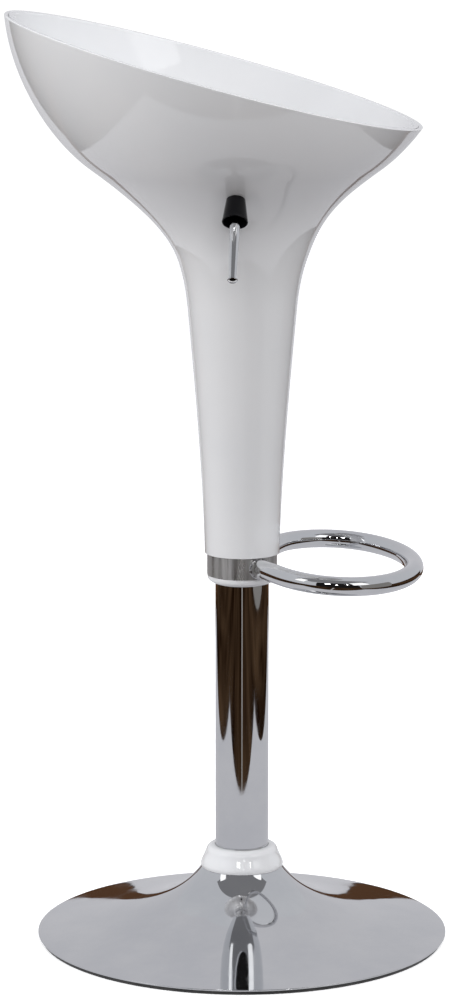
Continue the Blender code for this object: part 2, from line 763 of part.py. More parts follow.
def make_bolts(seat):
    washer_top = PLATE_BOTTOM - TOUCH
    washer_bottom = washer_top - WASHER_THICKNESS
    head_top = washer_bottom - TOUCH
    head_bottom = head_top - BOLT_HEAD_HEIGHT
    end = PLATE_TOP + BOLT_GRIP
    outline = [
        (0, end),
        (BOLT_RADIUS - BOLT_POINT, end),
        (BOLT_RADIUS, end - EDGE_CHAMFER),
        (BOLT_RADIUS, head_top),
        (BOLT_HEAD_RADIUS, head_top),
        (BOLT_HEAD_RADIUS, head_bottom + EDGE_CHAMFER),
        (BOLT_HEAD_RADIUS - EDGE_CHAMFER, head_bottom),
        (0, head_bottom),
    ]
    for i, (x, y) in enumerate(bolt_spots(), 1):
        bolt = turned(f"seat_bolt_{i}", outline, STEEL, None, SMALL_STEPS)
        washer = tube(
            f"seat_washer_{i}",
            WASHER_RADIUS,
            BOLT_RADIUS + TOUCH,
            washer_bottom,
            washer_top,
            STEEL,
            None,
            SMALL_STEPS,
        )
        for obj in (bolt, washer):
            obj.location = (x, y, 0)
            carried(obj, seat)


# ---------------------------------------------------------------- shell and dish


def set_back(obj):
    """Moves each level of the bowl behind the axis."""
    for vertex in obj.data.vertices:
        vertex.co.x -= setback(vertex.co.z)
    obj.data.update()


def rim_cutter():
    """A block above the sloping rim plane."""
    run = RIM_FRONT_X - RIM_BACK_X
    tilt = atan2(BACK_RISE, run)
    size = 4 * SEAT_RADIUS
    bm = box((size, size, size), (0, 0, size / 2))
    middle = ((RIM_FRONT_X + RIM_BACK_X) / 2, 0, (FRONT_RIM + BACK_RIM) / 2)
    normal = Vector((sin(tilt), 0, cos(tilt)))
    return cutter("above_the_rim", bm, middle, square_to(normal))


def make_shell(seat, above):
    ledge_bottom = BUSH_TOP + TOUCH
    ledge_top = ledge_bottom + LEDGE_THICKNESS
    ledge_bore = COLUMN_RADIUS + LEDGE_REACH
    skirt_bore = SHELL_INNER[0][0]
    inner = [p for p in SHELL_INNER if p[1] > ledge_top + LEDGE_MARGIN]
    ledge = [
        (skirt_bore, SKIRT_BOTTOM),
        (skirt_bore, ledge_bottom),
        (ledge_bore, ledge_bottom),
        (ledge_bore, ledge_top),
        (radius_at(SHELL_INNER, ledge_top), ledge_top),
    ]
    shell = turned("seat_shell", SHELL[::-1] + ledge + inner, WHITE, seat, WIDE_STEPS, True)
    shell = made_real(shell)
    set_back(shell)
    combine(shell, above)
    hole = cylinder(HOLE_RADIUS)
    combine(shell, cutter("lever_hole", hole, EXIT, square_to(EXIT_DIRECTION)))
    # The wall is also cleared where the shaft comes up to the hole from inside.
    groove = cylinder(LEVER_RADIUS + GROOVE_CLEARANCE)
    spot = LEVER_CORNER + INNER_LEG * (GROOVE_CLEARANCE - DRILL_LENGTH / 2)
    combine(shell, cutter("lever_groove", groove, spot, square_to(INNER_LEG)))


def dish_outline():
    """The dish's underside from the axis to above the rim: a floor, then the shell's curve."""
    wall = offset(SHELL, SHELL_WALL + GLUE_GAP)
    upper = [p for p in wall if p[1] > FRONT_RIM - DISH_JOIN_DROP]
    side = Vector(upper[0])
    reach_in, reach_down = DISH_HANDLES
    handle = side - (Vector(upper[1]) - side).normalized() * reach_down
    floor_handle = (reach_in * side.x, DISH_UNDERSIDE)
    floor = bezier((0, DISH_UNDERSIDE), floor_handle, handle, upper[0], DISH_FACETS)
    return floor + upper[1:]


def make_dish(seat, above):
    under = dish_outline()
    upper = offset(under, DISH_WALL)
    upper[0] = (0, DISH_FLOOR)
    dish = turned("seat_dish", upper + under[::-1], WHITE, seat, WIDE_STEPS)
    dish = made_real(dish)
    set_back(dish)
    boss_bottom = PLATE_TOP + TOUCH
    hole_top = PLATE_TOP + BOLT_GRIP + BOLT_END_GAP
    boss_top = height_at(under, hypot(BOLT_OFFSET, BOLT_OFFSET)) + DISH_WALL / 2
    for i, (x, y) in enumerate(bolt_spots(), 1):
        boss = cylinder(BOSS_RADIUS, boss_top - boss_bottom)
        spot = (x, y, (boss_top + boss_bottom) / 2)
        combine(dish, cutter(f"dish_boss_{i}", boss, spot), "UNION")
        hole = cylinder(BOLT_RADIUS + TOUCH)
        combine(dish, cutter(f"boss_hole_{i}", hole, (x, y, hole_top - DRILL_LENGTH / 2)))
    combine(dish, above)


# ---------------------------------------------------------------- footrest


def loop_plan(turn):
    """The loop seen from above: an ellipse that starts inside the collar."""
    middle = (LOOP_REACH + LOOP_START) / 2
    half_length = (LOOP_REACH - LOOP_START) / 2
    return middle - half_length * cos(turn), LOOP_HALF_WIDTH * sin(turn)


def weld_turn():
    """The turn at which the loop's middle line leaves the collar."""
    turn = 0
    while hypot(*loop_plan(turn)) < COLLAR_RADIUS:
        turn += WELD_STEP
    return turn


def loop_point(turn):
    """The loop leaves the collar's middle, rises into its plane and slopes down to the front."""
    x, y = loop_plan(turn)
    start = weld_turn()
    from_weld = (min(turn, 2 * pi - turn) - start) / LOOP_SETTLE
    settle = 1 - min(max(from_weld, 0), 1)
    plane = LOOP_RISE - x * tan(LOOP_SLOPE)
    at_weld = LOOP_RISE - loop_plan(start)[0] * tan(LOOP_SLOPE)
    return x, y, LOOP_WELD + plane - at_weld * settle**2


def make_footrest(seat):
    tube(
        "footrest_collar",
        COLLAR_RADIUS,
        COLLAR_RADIUS - COLLAR_WALL,
        COLLAR_BOTTOM,
        COLLAR_TOP,
        BRUSHED,
        seat,
        WIDE_STEPS,
    )
    sleeve = COLLAR_RADIUS - COLLAR_WALL - TOUCH
    lip = COLLAR_RADIUS - BUSH_LIP_INSET
    side = (lip, BUSH_LIP_TOP - EDGE_CHAMFER)
    down, out, up = BUSH_LIP_HANDLES
    under = bezier(
        side,
        (lip, side[1] - down),
        (BUSH_LIP_FOOT + out, BUSH_BOTTOM + up),
        (BUSH_LIP_FOOT, BUSH_BOTTOM),
        ROUNDING_FACETS,
    )
    bush = [(sleeve, BUSH_TOP), (sleeve, BUSH_LIP_TOP), (lip, BUSH_LIP_TOP)]
    bush += under + [(BUSH_BORE, BUSH_BOTTOM), (BUSH_BORE, BUSH_TOP)]
    turned("guide_bush", bush, WHITE, seat, WIDE_STEPS, closed=True)

    path = [loop_point(2 * pi * (i + 0.5) / LOOP_POINTS) for i in range(LOOP_POINTS)]
    loop = round_bar("footrest_loop", LOOP_TUBE_RADIUS, path, CHROME, seat, cyclic=True)
    collar_space = cylinder(COLLAR_RADIUS + TOUCH, steps=WIDE_STEPS)
    combine(loop, cutter("collar_space", collar_space, (0, 0, LOOP_WELD)))


# ---------------------------------------------------------------- lever


def filleted(points, radius, count):
    """A path through the points, with an arc of this radius at the last inner corner."""
    before, corner, after = (Vector(p) for p in points[-3:])
    back = (before - corner).normalized()
    ahead = (after - corner).normalized()
    half = back.angle(ahead) / 2
    reach = radius / tan(half)
    middle = corner + (back + ahead).normalized() * (radius / sin(half))
    start = corner + back * reach - middle
    end = corner + ahead * reach - middle
    arc = [middle + start.slerp(end, i / count).normalized() * radius for i in range(count + 1)]
    return [Vector(p) for p in points[:-2]] + arc + [after]


def make_lever(seat):
    lever = pivot("lever_axis", (0, -PIVOT_ARM, PIVOT_HEIGHT), seat)
    path = filleted(
        [
            (0, LEVER_INNER_END, PIVOT_HEIGHT),
            INNER_LEG_START,
            LEVER_CORNER,
            EXIT + EXIT_DIRECTION * LEVER_STUB,
        ],
        LEVER_BEND_RADIUS,
        BEND_FACETS,
    )
    shaft = round_bar("lever_shaft", LEVER_RADIUS, path, CHROME, lever)
    across = Vector((1, 0, 0))
    spot = (0, -PIVOT_ARM, PIVOT_HEIGHT)
    eye = cylinder(PIVOT_PIN_RADIUS + SLIDE)
    combine(shaft, cutter("lever_eye", eye, spot, square_to(across)))

    start = LEVER_STUB + TOUCH
    taper = [
        (0, HANDLE_END),
        (HANDLE_END_RADIUS, HANDLE_END),
        (HANDLE_TOP_RADIUS, start + HANDLE_CHAMFER),
        (HANDLE_TOP_RADIUS - HANDLE_CHAMFER, start),
        (0, start),
    ]
    tip_top = HANDLE_END + TOUCH + TIP_THICKNESS
    tip = [
        (0, tip_top),
        (TIP_RADIUS - TIP_CHAMFER, tip_top),
        (TIP_RADIUS, tip_top - TIP_CHAMFER),
        (TIP_RADIUS, HANDLE_END + TOUCH),
        (0, HANDLE_END + TOUCH),
    ]
    # The bell widens from the shell to its mouth.
    (mouth_in, mouth_share), (base_out, base_share) = HOOD_HANDLES
    outside = bezier(
        (HOOD_MOUTH_RADIUS, HOOD_LENGTH),
        (HOOD_MOUTH_RADIUS - mouth_in, HOOD_LENGTH * mouth_share),
        (HOOD_BASE_RADIUS + base_out, HOOD_LENGTH * base_share),
        (HOOD_BASE_RADIUS, HOOD_STANDOFF),
        HOOD_FACETS,
    )
    hood = outside + offset(outside, -HOOD_WALL)[::-1]
    for name, outline, closed, material, carrier in (
        ("lever_handle", taper, False, CHROME, lever),
        ("lever_tip", tip, False, CHROME, lever),
        ("lever_hood", hood, True, LACQUER, seat),
    ):
        obj = turned(name, outline, material, None, SMALL_STEPS, closed)
        turn_to(obj, EXIT_DIRECTION, EXIT)
        carried(obj, carrier)

    width = 2 * (LEVER_RADIUS + 2 * TOUCH + BRACKET_WALL)
    bottom = PLATE_TOP + TOUCH
    top = PIVOT_HEIGHT + BRACKET_RISE
    height = top - bottom
    middle = Vector((0, -PIVOT_ARM, (top + bottom) / 2))
    block = box((width, BRACKET_LENGTH, height), middle)
    bracket = solid("lever_bracket", block, BLACK_PAINT, seat)
    inside = (width - 2 * BRACKET_WALL, 2 * BRACKET_LENGTH, height)
    channel = box(inside, middle + Vector((0, 0, BRACKET_FLOOR)))
    combine(bracket, cutter("bracket_channel", channel))
    hole = cylinder(PIVOT_PIN_RADIUS + TOUCH)
    combine(bracket, cutter("bracket_eye", hole, spot, square_to(across)))
    pin = solid("pivot_pin", cylinder(PIVOT_PIN_RADIUS, PIVOT_PIN_LENGTH), STEEL, None)
    turn_to(pin, across, spot)
    carried(pin, seat)


def make_release_pin(seat):
    carrier = pivot("release_axis", (0, 0, PIN_TOP), seat)
    rod("release_pin", PIN_RADIUS, PIN_TOP - PIN_LENGTH, PIN_TOP, STEEL, carrier)


# ---------------------------------------------------------------- the stool


def make_stool():
    root = make_base()
    make_column(root)
    spindle = make_spindle(root)
    make_bearing(root, spindle)
    seat = pivot("height_axis", (0, 0, SKIRT_BOTTOM), spindle)
    make_pressure_tube(seat)
    make_plate(seat)
    make_bolts(seat)
    above = rim_cutter()
    make_shell(seat, above)
    make_dish(seat, above)
    make_footrest(seat)
    make_lever(seat)
    make_release_pin(seat)


make_stool()
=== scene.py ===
"""Looks of the adjustable swivel stool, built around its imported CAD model.

Metres, +Z up. The low front of the seat faces +X, the lever faces -Y, the origin is on the floor.
"""

import json
from math import atan2, cos, hypot, pi, radians, sin, tan

import bmesh
import bpy
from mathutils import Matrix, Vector, noise


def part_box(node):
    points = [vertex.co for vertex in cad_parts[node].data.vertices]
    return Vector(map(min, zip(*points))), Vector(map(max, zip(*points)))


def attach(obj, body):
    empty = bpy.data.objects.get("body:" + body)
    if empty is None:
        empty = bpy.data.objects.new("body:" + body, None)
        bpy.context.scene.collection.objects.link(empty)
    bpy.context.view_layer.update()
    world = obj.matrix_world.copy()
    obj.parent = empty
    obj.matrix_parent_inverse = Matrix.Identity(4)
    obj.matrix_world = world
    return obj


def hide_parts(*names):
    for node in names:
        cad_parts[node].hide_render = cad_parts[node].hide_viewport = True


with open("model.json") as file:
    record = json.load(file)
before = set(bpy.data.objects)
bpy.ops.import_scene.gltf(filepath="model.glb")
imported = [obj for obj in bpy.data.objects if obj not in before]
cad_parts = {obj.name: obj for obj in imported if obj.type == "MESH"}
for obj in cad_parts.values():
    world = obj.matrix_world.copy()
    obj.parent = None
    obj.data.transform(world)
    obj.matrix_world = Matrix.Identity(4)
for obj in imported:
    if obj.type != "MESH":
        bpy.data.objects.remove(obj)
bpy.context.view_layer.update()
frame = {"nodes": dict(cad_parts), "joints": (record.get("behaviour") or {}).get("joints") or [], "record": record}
NODES = frame["nodes"]
UP = Vector((0, 0, 1))
ACROSS = Vector((1, 0, 0))
BODY_OF = {
    node: body
    for body, members in frame["record"]["behaviour"]["bodies"].items()
    for node in members
}

# ---- facets of the fine meshes ----
WIDE_STEPS = 192
ROUND_STEPS = 96
SMALL_STEPS = 48
LEVER_STEPS = 32
BEAD_STEPS = 12
BEND_STEPS = 16
FINE = 8  # new points between two points of a CAD outline
EASE_STEPS = 4
RIM_EASE_STEPS = 6
EASE_SHARE = 0.42  # of a side's length, the most that an eased corner takes
SECTION_EASE_SHARE = 0.45
ON_AXIS = 0.000001  # a point of an outline within this radius lies on its axis
STEM_POINTS = 30
FLARE_POINTS = 48
BOWL_POINTS = 60
DISH_POINTS = 60
LOOP_POINTS = 300
BEAD_POINTS = 64
CORNER_ANGLE = radians(38)  # an outline that turns by more has a corner there
SHARP_ANGLE = radians(35)  # faces that meet at more are shaded apart

# ---- the shell's outline, as the CAD model has it ----
SHELL_LOW, SHELL_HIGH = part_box("seat_shell")
COLUMN_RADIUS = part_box("column_tube")[1].x
SKIRT_OUTSIDE_COLUMN = 0.0098
STEM_SPREAD = 0.0157
SEAT_SETBACK = 0.006
BACK_RISE = 0.104
FLARE_DROP = 0.1676
SHOULDER_DROP = 0.0382
SHOULDER_INSET = 0.0771
STEM_HANDLES = ((0.15, 0.35), (0.54, 0.655))  # shares of the way out and of the way up
FLARE_HANDLES = ((0.068, 0.484), (0.333, 0.688))
BOWL_HANDLES = ((0.5, 0.197), (0.943, 0.597))
SETBACK_LOW = 0.122  # below the front rim, where the set-back starts
SETBACK_HIGH = 0.057  # below the front rim, where it is full
SHELL_WALL = 0.0035
GLUE_GAP = 0.0006
DISH_WALL = 0.004
DISH_HANDLES = (0.5, 0.030)  # share of the dish's radius at its floor, reach at its side
DISH_CURVE_DROP = 0.006  # below the front rim, where the dish leaves the shell's curve
LEDGE_REACH = 0.0008
LEDGE_THICKNESS = 0.005

BACK_RIM = SHELL_HIGH.z
FRONT_RIM = BACK_RIM - BACK_RISE
SKIRT_BOTTOM = SHELL_LOW.z
SKIRT_RADIUS = COLUMN_RADIUS + SKIRT_OUTSIDE_COLUMN
STEM_RADIUS = SKIRT_RADIUS + STEM_SPREAD
SEAT_RADIUS = -SHELL_LOW.x - SEAT_SETBACK
RIM_RUN = SHELL_HIGH.x - SHELL_LOW.x
RIM_TILT = atan2(BACK_RISE, RIM_RUN)
PLATE_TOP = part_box("mounting_plate")[1].z
CHANNEL_HEIGHT = 0.018
DISH_UNDERSIDE = PLATE_TOP + CHANNEL_HEIGHT
DISH_FLOOR = DISH_UNDERSIDE + DISH_WALL
BOSS_RADIUS = 0.0065
BOSS_HOLE_RADIUS = 0.0032
BOSS_HOLE_DEPTH = 0.0155
TOUCH = 0.0003

# ---- how the shell's and the dish's fine points are spread and their edges eased ----
SPREAD_BELOW_RIM = 0.06  # below the front rim, from where points are spread evenly up to the rim
SHELL_SPREAD = (56, 40)  # points outside and inside
SHELL_RIM_EASES = (0.0022, 0.0008)
SKIRT_EDGE_EASES = (0.0008, 0.0006)
LEDGE_GAP = 0.003  # above the ledge, where the inner wall's own points start
DISH_SPREAD = 60
DISH_SPREAD_START = 12  # points before the end of the floor's curve
DISH_RIM_EASES = (0.0008, 0.0026)
DISH_CENTRE = 0.0004  # radius of the small ring that is closed at the end

# ---- the footrest's route, as the CAD model has it ----
COLLAR_LOW, COLLAR_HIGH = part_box("footrest_collar")
COLLAR_RADIUS = COLLAR_HIGH.x
LOOP_WELD = (COLLAR_LOW.z + COLLAR_HIGH.z) / 2
LOOP_TUBE_RADIUS = 0.00875
LOOP_REACH = 0.1606
LOOP_START = 0.0154
LOOP_HALF_WIDTH = 0.1105
LOOP_RISE = 0.0075
LOOP_SLOPE = radians(3.5)
LOOP_SETTLE = radians(34)
LOOP_HIDDEN = 0.55  # share of the turn up to the weld at which the tube starts, inside the collar
WELD_RADIUS = 0.0017
WELD_UNEVENNESS = 0.35
WELD_RIPPLES = 26
WELD_SEARCH = radians(80)  # the weld lies within this turn

# ---- the lever, as the CAD model has it ----
LEVER_RADIUS = 0.004
LEVER_INNER_END = 0.006
BRACKET_LENGTH = 0.018
LEVER_BEND_RADIUS = 0.009
LEVER_STUB = 0.012
LEVER_BEND_DEPTH = 0.85  # of the shell's wall, from its outer face
HOLE_RADIUS = 0.0072
HOLE_REACH_IN = 0.023
HOLE_REACH_OUT = 0.007
GROOVE_CLEARANCE = 0.0012
GROOVE_LENGTH = 0.030
HOOD_STANDOFF = 0.0007
PIVOT_PIN_RADIUS = 0.002
PIVOT_BORE_HALF = 0.02
PIVOT = Vector(next(j["pos_m"] for j in frame["joints"] if j["name"] == "lever_lift"))


# ---------------------------------------------------------------- outlines


def bezier(start, handle_a, handle_b, end, count):
    """Points of a cubic curve, the first one included and the last one too."""
    points = []
    for i in range(count + 1):
        t = i / count
        weights = ((1 - t) ** 3, 3 * (1 - t) ** 2 * t, 3 * (1 - t) * t**2, t**3)
        corners = (start, handle_a, handle_b, end)
        points.append(tuple(sum(w * c[k] for w, c in zip(weights, corners)) for k in (0, 1)))
    return points


def offset(points, distance):
    """The outline moved to its left by distance; an outline that climbs moves inwards."""
    moved = []
    for i, (r, z) in enumerate(points):
        before = points[max(i - 1, 0)]
        after = points[min(i + 1, len(points) - 1)]
        along = Vector((after[0] - before[0], after[1] - before[1])).normalized()
        moved.append((r - along.y * distance, z + along.x * distance))
    return moved


def radius_at(points, height):
    """The radius of a climbing outline at a height."""
    for (r0, z0), (r1, z1) in zip(points, points[1:]):
        if z0 <= height <= z1:
            return r0 + (r1 - r0) * (height - z0) / (z1 - z0)
    return points[-1][0]


def outline_of(node, origin, axis):
    """The (radius, height) outline of a turned CAD node, read in the half-plane that holds +X.

    Returns its points and whether it is a closed loop. An open one starts and ends on the axis.
    """
    near = 0.000004
    side = axis.cross(ACROSS)
    mesh = NODES[node].data
    spots = {}
    for vertex in mesh.vertices:
        place = vertex.co - origin
        if abs(place.dot(side)) < near and place.dot(ACROSS) > -near:
            spots[vertex.index] = (round(place.dot(ACROSS), 6), round(place.dot(axis), 6))
    links = {}
    for edge in mesh.edges:
        a, b = (spots.get(i) for i in edge.vertices)
        if a and b and a != b:
            links.setdefault(a, []).append(b)
            links.setdefault(b, []).append(a)
    links = {spot: sorted(set(others)) for spot, others in links.items()}
    ends = [spot for spot, others in links.items() if len(others) == 1]
    start = max(ends, key=lambda p: p[1]) if ends else max(links)
    points = [start]
    here = links[start][0]
    while here != start:
        points.append(here)
        onward = [p for p in links[here] if p != points[-2]]
        if not onward:
            return points, False
        here = onward[0]
    return points, True


def turn_at(before, here, after):
    """How far an outline turns at a point."""
    a = Vector((here[0] - before[0], here[1] - before[1]))
    b = Vector((after[0] - here[0], after[1] - here[1]))
    return a.angle(b, 0)


def on_curve(before, a, b, after, t):
    """A point between a and b on the smooth curve through the four points."""
    spot = []
    for k in (0, 1):
        p, q, r, s = before[k], a[k], b[k], after[k]
        tangent_a = (r - p) / 2
        tangent_b = (s - q) / 2
        cube = 2 * q - 2 * r + tangent_a + tangent_b
        square = -3 * q + 3 * r - 2 * tangent_a - tangent_b
        spot.append(((cube * t + square) * t + tangent_a) * t + q)
    return tuple(spot)


def refined(points, closed, ease):
    """A finer outline: gentle bends become smooth curves, and corners are eased by up to ease."""
    count = len(points)

    def at(i):
        return points[i % count] if closed else points[min(max(i, 0), count - 1)]

    def sharp(i):
        inside = closed or 0 < i < count - 1
        return inside and turn_at(at(i - 1), at(i), at(i + 1)) > CORNER_ANGLE

    def loose(i):
        """Where a smooth run stops: at a corner, or at an end of the outline."""
        return sharp(i) or not (closed or 0 < i < count - 1)

    fine = []
    last = count if closed else count - 1
    for i in range(last):
        a, b = at(i), at(i + 1)
        before = (2 * a[0] - b[0], 2 * a[1] - b[1]) if loose(i) else at(i - 1)
        after = (2 * b[0] - a[0], 2 * b[1] - a[1]) if loose((i + 1) % count) else at(i + 2)
        straight = loose(i) and loose((i + 1) % count)
        steps = 1 if straight else FINE
        for k in range(steps):
            fine.append((on_curve(before, a, b, after, k / steps), k == 0 and sharp(i)))
    if not closed:
        fine.append((points[-1], False))
    return eased(fine, closed, ease)


def eased(marked, closed, ease):
    """Replaces each marked corner by a short curve."""
    count = len(marked)
    result = []
    for i, (here, is_corner) in enumerate(marked):
        if not is_corner:
            result.append(here)
            continue
        spot = Vector(here)
        back = Vector(marked[(i - 1) % count][0]) - spot
        ahead = Vector(marked[(i + 1) % count][0]) - spot
        reach = min(ease, EASE_SHARE * back.length, EASE_SHARE * ahead.length)
        start = spot + back.normalized() * reach
        end = spot + ahead.normalized() * reach
        for k in range(EASE_STEPS + 1):
            t = k / EASE_STEPS
            curved = start * (1 - t) ** 2 + spot * 2 * t * (1 - t) + end * t * t
            result.append((curved.x, curved.y))
    return result


# ---------------------------------------------------------------- meshes


def made(name, bm):
    """A smooth-shaded object from a bmesh, its faces pointing out."""
    bmesh.ops.recalc_face_normals(bm, faces=bm.faces)
    mesh = bpy.data.meshes.new(name)
    bm.to_mesh(mesh)
    bm.free()
    mesh.shade_smooth()
    obj = bpy.data.objects.new(name, mesh)
    bpy.context.scene.collection.objects.link(obj)
    return obj


def crisp(obj):
    """Keeps flat faces flat beside eased corners."""
    obj.data.set_sharp_from_angle(angle=SHARP_ANGLE)
    weighted = obj.modifiers.new("even_normals", "WEIGHTED_NORMAL")
    weighted.keep_sharp = True
    return obj


def bridged(bm, rings, closed_profile):
    """Quads between successive rings of vertices."""
    pairs = list(zip(rings, rings[1:]))
    if closed_profile:
        pairs.append((rings[-1], rings[0]))
    for low, high in pairs:
        if len(low) == 1 and len(high) == 1:
            continue
        steps = max(len(low), len(high))
        for i in range(steps):
            j = (i + 1) % steps
            corners = [low[i % len(low)], low[j % len(low)], high[j % len(high)], high[i % len(high)]]
            bm.faces.new(list(dict.fromkeys(corners)))


def lathe(name, points, closed, origin=Vector(), axis=UP, steps=ROUND_STEPS):
    """An outline turned about an axis. A point on the axis becomes a single vertex."""
    side = axis.cross(ACROSS)
    bm = bmesh.new()
    rings = []
    for r, z in points:
        if r < ON_AXIS:
            rings.append([bm.verts.new(origin + axis * z)])
            continue
        ring = []
        for i in range(steps):
            angle = 2 * pi * i / steps
            ring.append(bm.verts.new(origin + axis * z + (ACROSS * cos(angle) + side * sin(angle)) * r))
        rings.append(ring)
    bridged(bm, rings, closed)
    return crisp(made(name, bm))


def swept(name, path, radius_of, closed, sides=SMALL_STEPS):
    """A round bar along a path; radius_of gives its radius at a share of the way and round its girth."""
    count = len(path)
    bm = bmesh.new()
    rings = []
    normal = None
    for i, spot in enumerate(path):
        before = path[(i - 1) % count] if closed else path[max(i - 1, 0)]
        after = path[(i + 1) % count] if closed else path[min(i + 1, count - 1)]
        along = (after - before).normalized()
        if normal is None:
            normal = along.orthogonal().normalized()
        normal = (normal - along * normal.dot(along)).normalized()
        side = along.cross(normal)
        ring = []
        for k in range(sides):
            angle = 2 * pi * k / sides
            reach = radius_of(i / count, angle)
            ring.append(bm.verts.new(spot + (normal * cos(angle) + side * sin(angle)) * reach))
        rings.append(ring)
    if closed:
        # The first ring is matched to the last, which may have turned along the way.
        shift = min(range(sides), key=lambda s: (rings[0][s].co - rings[-1][0].co).length)
        bridged(bm, rings, False)
        turned_first = rings[0][shift:] + rings[0][:shift]
        bridged(bm, [rings[-1], turned_first], False)
    else:
        bridged(bm, rings, False)
        bm.faces.new(rings[0])
        bm.faces.new(rings[-1])
    return made(name, bm)


def carve(obj, tool):
    """Cuts the tool out of the piece at once, shades it again and removes the tool."""
    modifier = obj.modifiers.new("carve", "BOOLEAN")
    modifier.operation = "DIFFERENCE"
    modifier.solver = "EXACT"
    modifier.object = tool
    graph = bpy.context.evaluated_depsgraph_get()
    mesh = bpy.data.meshes.new_from_object(obj.evaluated_get(graph))
    obj.modifiers.clear()
    obj.data = mesh
    mesh.shade_smooth()
    mesh.set_sharp_from_angle(angle=SHARP_ANGLE)
    bpy.data.objects.remove(tool)


def bar(radius, start, end, steps=SMALL_STEPS):
    """A plain round tool between two points."""
    axis = (end - start).normalized()
    side = axis.orthogonal().normalized()
    other = axis.cross(side)
    bm = bmesh.new()
    angles = [2 * pi * i / steps for i in range(steps)]
    rings = [
        [bm.verts.new(spot + (side * cos(a) + other * sin(a)) * radius) for a in angles]
        for spot in (start, end)
    ]
    bridged(bm, rings, False)
    for ring in rings:
        bm.faces.new(ring)
    return made("tool", bm)


# ---------------------------------------------------------------- materials


class Finish:
    """A procedural material in the object's own coordinates."""

    def __init__(self, name, metallic=0.0, **sockets):
        self.material = bpy.data.materials.new(name)
        self.material.use_nodes = True
        self.tree = self.material.node_tree
        self.shader = self.tree.nodes["Principled BSDF"]
        self.shader.inputs["Metallic"].default_value = metallic
        for socket, value in sockets.items():
            self.shader.inputs[socket.replace("_", " ")].default_value = value
        self.coordinates = self.tree.nodes.new("ShaderNodeTexCoord")
        self.last_bump = None

    def join(self, output, target):
        self.tree.links.new(output, target)

    def grain(self, scale, detail=4.0, roughness=0.5, stretch=(1, 1, 1), distortion=0.0):
        """Noise of this many features to the metre."""
        mapping = self.tree.nodes.new("ShaderNodeMapping")
        mapping.inputs["Scale"].default_value = stretch
        texture = self.tree.nodes.new("ShaderNodeTexNoise")
        texture.inputs["Scale"].default_value = scale
        texture.inputs["Detail"].default_value = detail
        texture.inputs["Roughness"].default_value = roughness
        texture.inputs["Distortion"].default_value = distortion
        self.join(self.coordinates.outputs["Object"], mapping.inputs["Vector"])
        self.join(mapping.outputs["Vector"], texture.inputs["Vector"])
        return texture.outputs["Fac"]

    def between(self, value, low, high, start=0.35, end=0.65):
        """The value's middle range spread from low to high."""
        spread = self.tree.nodes.new("ShaderNodeMapRange")
        spread.inputs["From Min"].default_value = start
        spread.inputs["From Max"].default_value = end
        spread.inputs["To Min"].default_value = low
        spread.inputs["To Max"].default_value = high
        self.join(value, spread.inputs["Value"])
        return spread.outputs["Result"]

    def colour(self, value, dark, light, start=0.35, end=0.65):
        ramp = self.tree.nodes.new("ShaderNodeValToRGB")
        ramp.color_ramp.elements[0].position = start
        ramp.color_ramp.elements[0].color = (*dark, 1)
        ramp.color_ramp.elements[1].position = end
        ramp.color_ramp.elements[1].color = (*light, 1)
        self.join(value, ramp.inputs["Fac"])
        self.join(ramp.outputs["Color"], self.shader.inputs["Base Color"])

    def dull(self, value, low, high, start=0.35, end=0.65):
        """Roughness."""
        self.join(self.between(value, low, high, start, end), self.shader.inputs["Roughness"])

    def raised(self, value, height, strength=1.0):
        """Bump of this height in metres, on top of what is there."""
        bump = self.tree.nodes.new("ShaderNodeBump")
        bump.inputs["Distance"].default_value = height
        bump.inputs["Strength"].default_value = strength
        self.join(value, bump.inputs["Height"])
        if self.last_bump:
            self.join(self.last_bump, bump.inputs["Normal"])
        self.last_bump = bump.outputs["Normal"]
        self.join(self.last_bump, self.shader.inputs["Normal"])


def gloss_white():
    """High-gloss moulded ABS: faint flow clouds, orange peel and fine handling scuffs."""
    finish = Finish("gloss_white_plastic", Coat_Weight=0.6, Coat_Roughness=0.02, IOR=1.5)
    finish.colour(finish.grain(9, 3), (0.775, 0.78, 0.79), (0.80, 0.80, 0.805))
    finish.dull(finish.grain(260, 5, stretch=(1, 1, 0.15)), 0.04, 0.09)
    finish.raised(finish.grain(55, 2), 0.00003)
    finish.raised(finish.grain(900, 2), 0.000002)
    return finish.material


def chrome():
    """Bright plate: soft clouding, a trace of polishing waves and dull finger marks."""
    finish = Finish("chrome_plate", metallic=1.0)
    finish.colour(finish.grain(14, 5, 0.6), (0.66, 0.67, 0.69), (0.72, 0.725, 0.735))
    finish.dull(finish.grain(23, 6, 0.65, distortion=0.6), 0.025, 0.085, 0.42, 0.72)
    finish.raised(finish.grain(30, 1), 0.00002)
    return finish.material


def brushed_band():
    """Satin steel, brushed round the band, so that reflections smear up and down it. Its colour also holds a
    painted reflection: dark and light streaks up and down the band.
    """
    finish = Finish("brushed_band", metallic=0.8, Anisotropic=0.95, Anisotropic_Rotation=0.25)
    tangent = finish.tree.nodes.new("ShaderNodeTangent")
    tangent.direction_type = "RADIAL"
    tangent.axis = "Z"
    finish.join(tangent.outputs["Tangent"], finish.shader.inputs["Tangent"])
    # painted reflection: dark and light streaks up and down the band stand in for reflections smeared by the
    # brushing
    finish.colour(finish.grain(150, 5, 0.75, stretch=(1, 1, 0.04)), (0.26, 0.25, 0.24), (0.62, 0.61, 0.60))
    finish.dull(finish.grain(220, 3, stretch=(1, 1, 0.1)), 0.26, 0.38)
    finish.raised(finish.grain(1500, 2, stretch=(0.03, 0.03, 1)), 0.000001)
    return finish.material


def weld_steel():
    """The plated weld bead: ripples and scorched spots."""
    finish = Finish("weld_bead", metallic=1.0)
    finish.colour(finish.grain(420, 4, 0.7), (0.16, 0.15, 0.15), (0.70, 0.70, 0.71), 0.38, 0.58)
    finish.dull(finish.grain(500, 3), 0.10, 0.32)
    finish.raised(finish.grain(650, 3), 0.0003)
    return finish.material


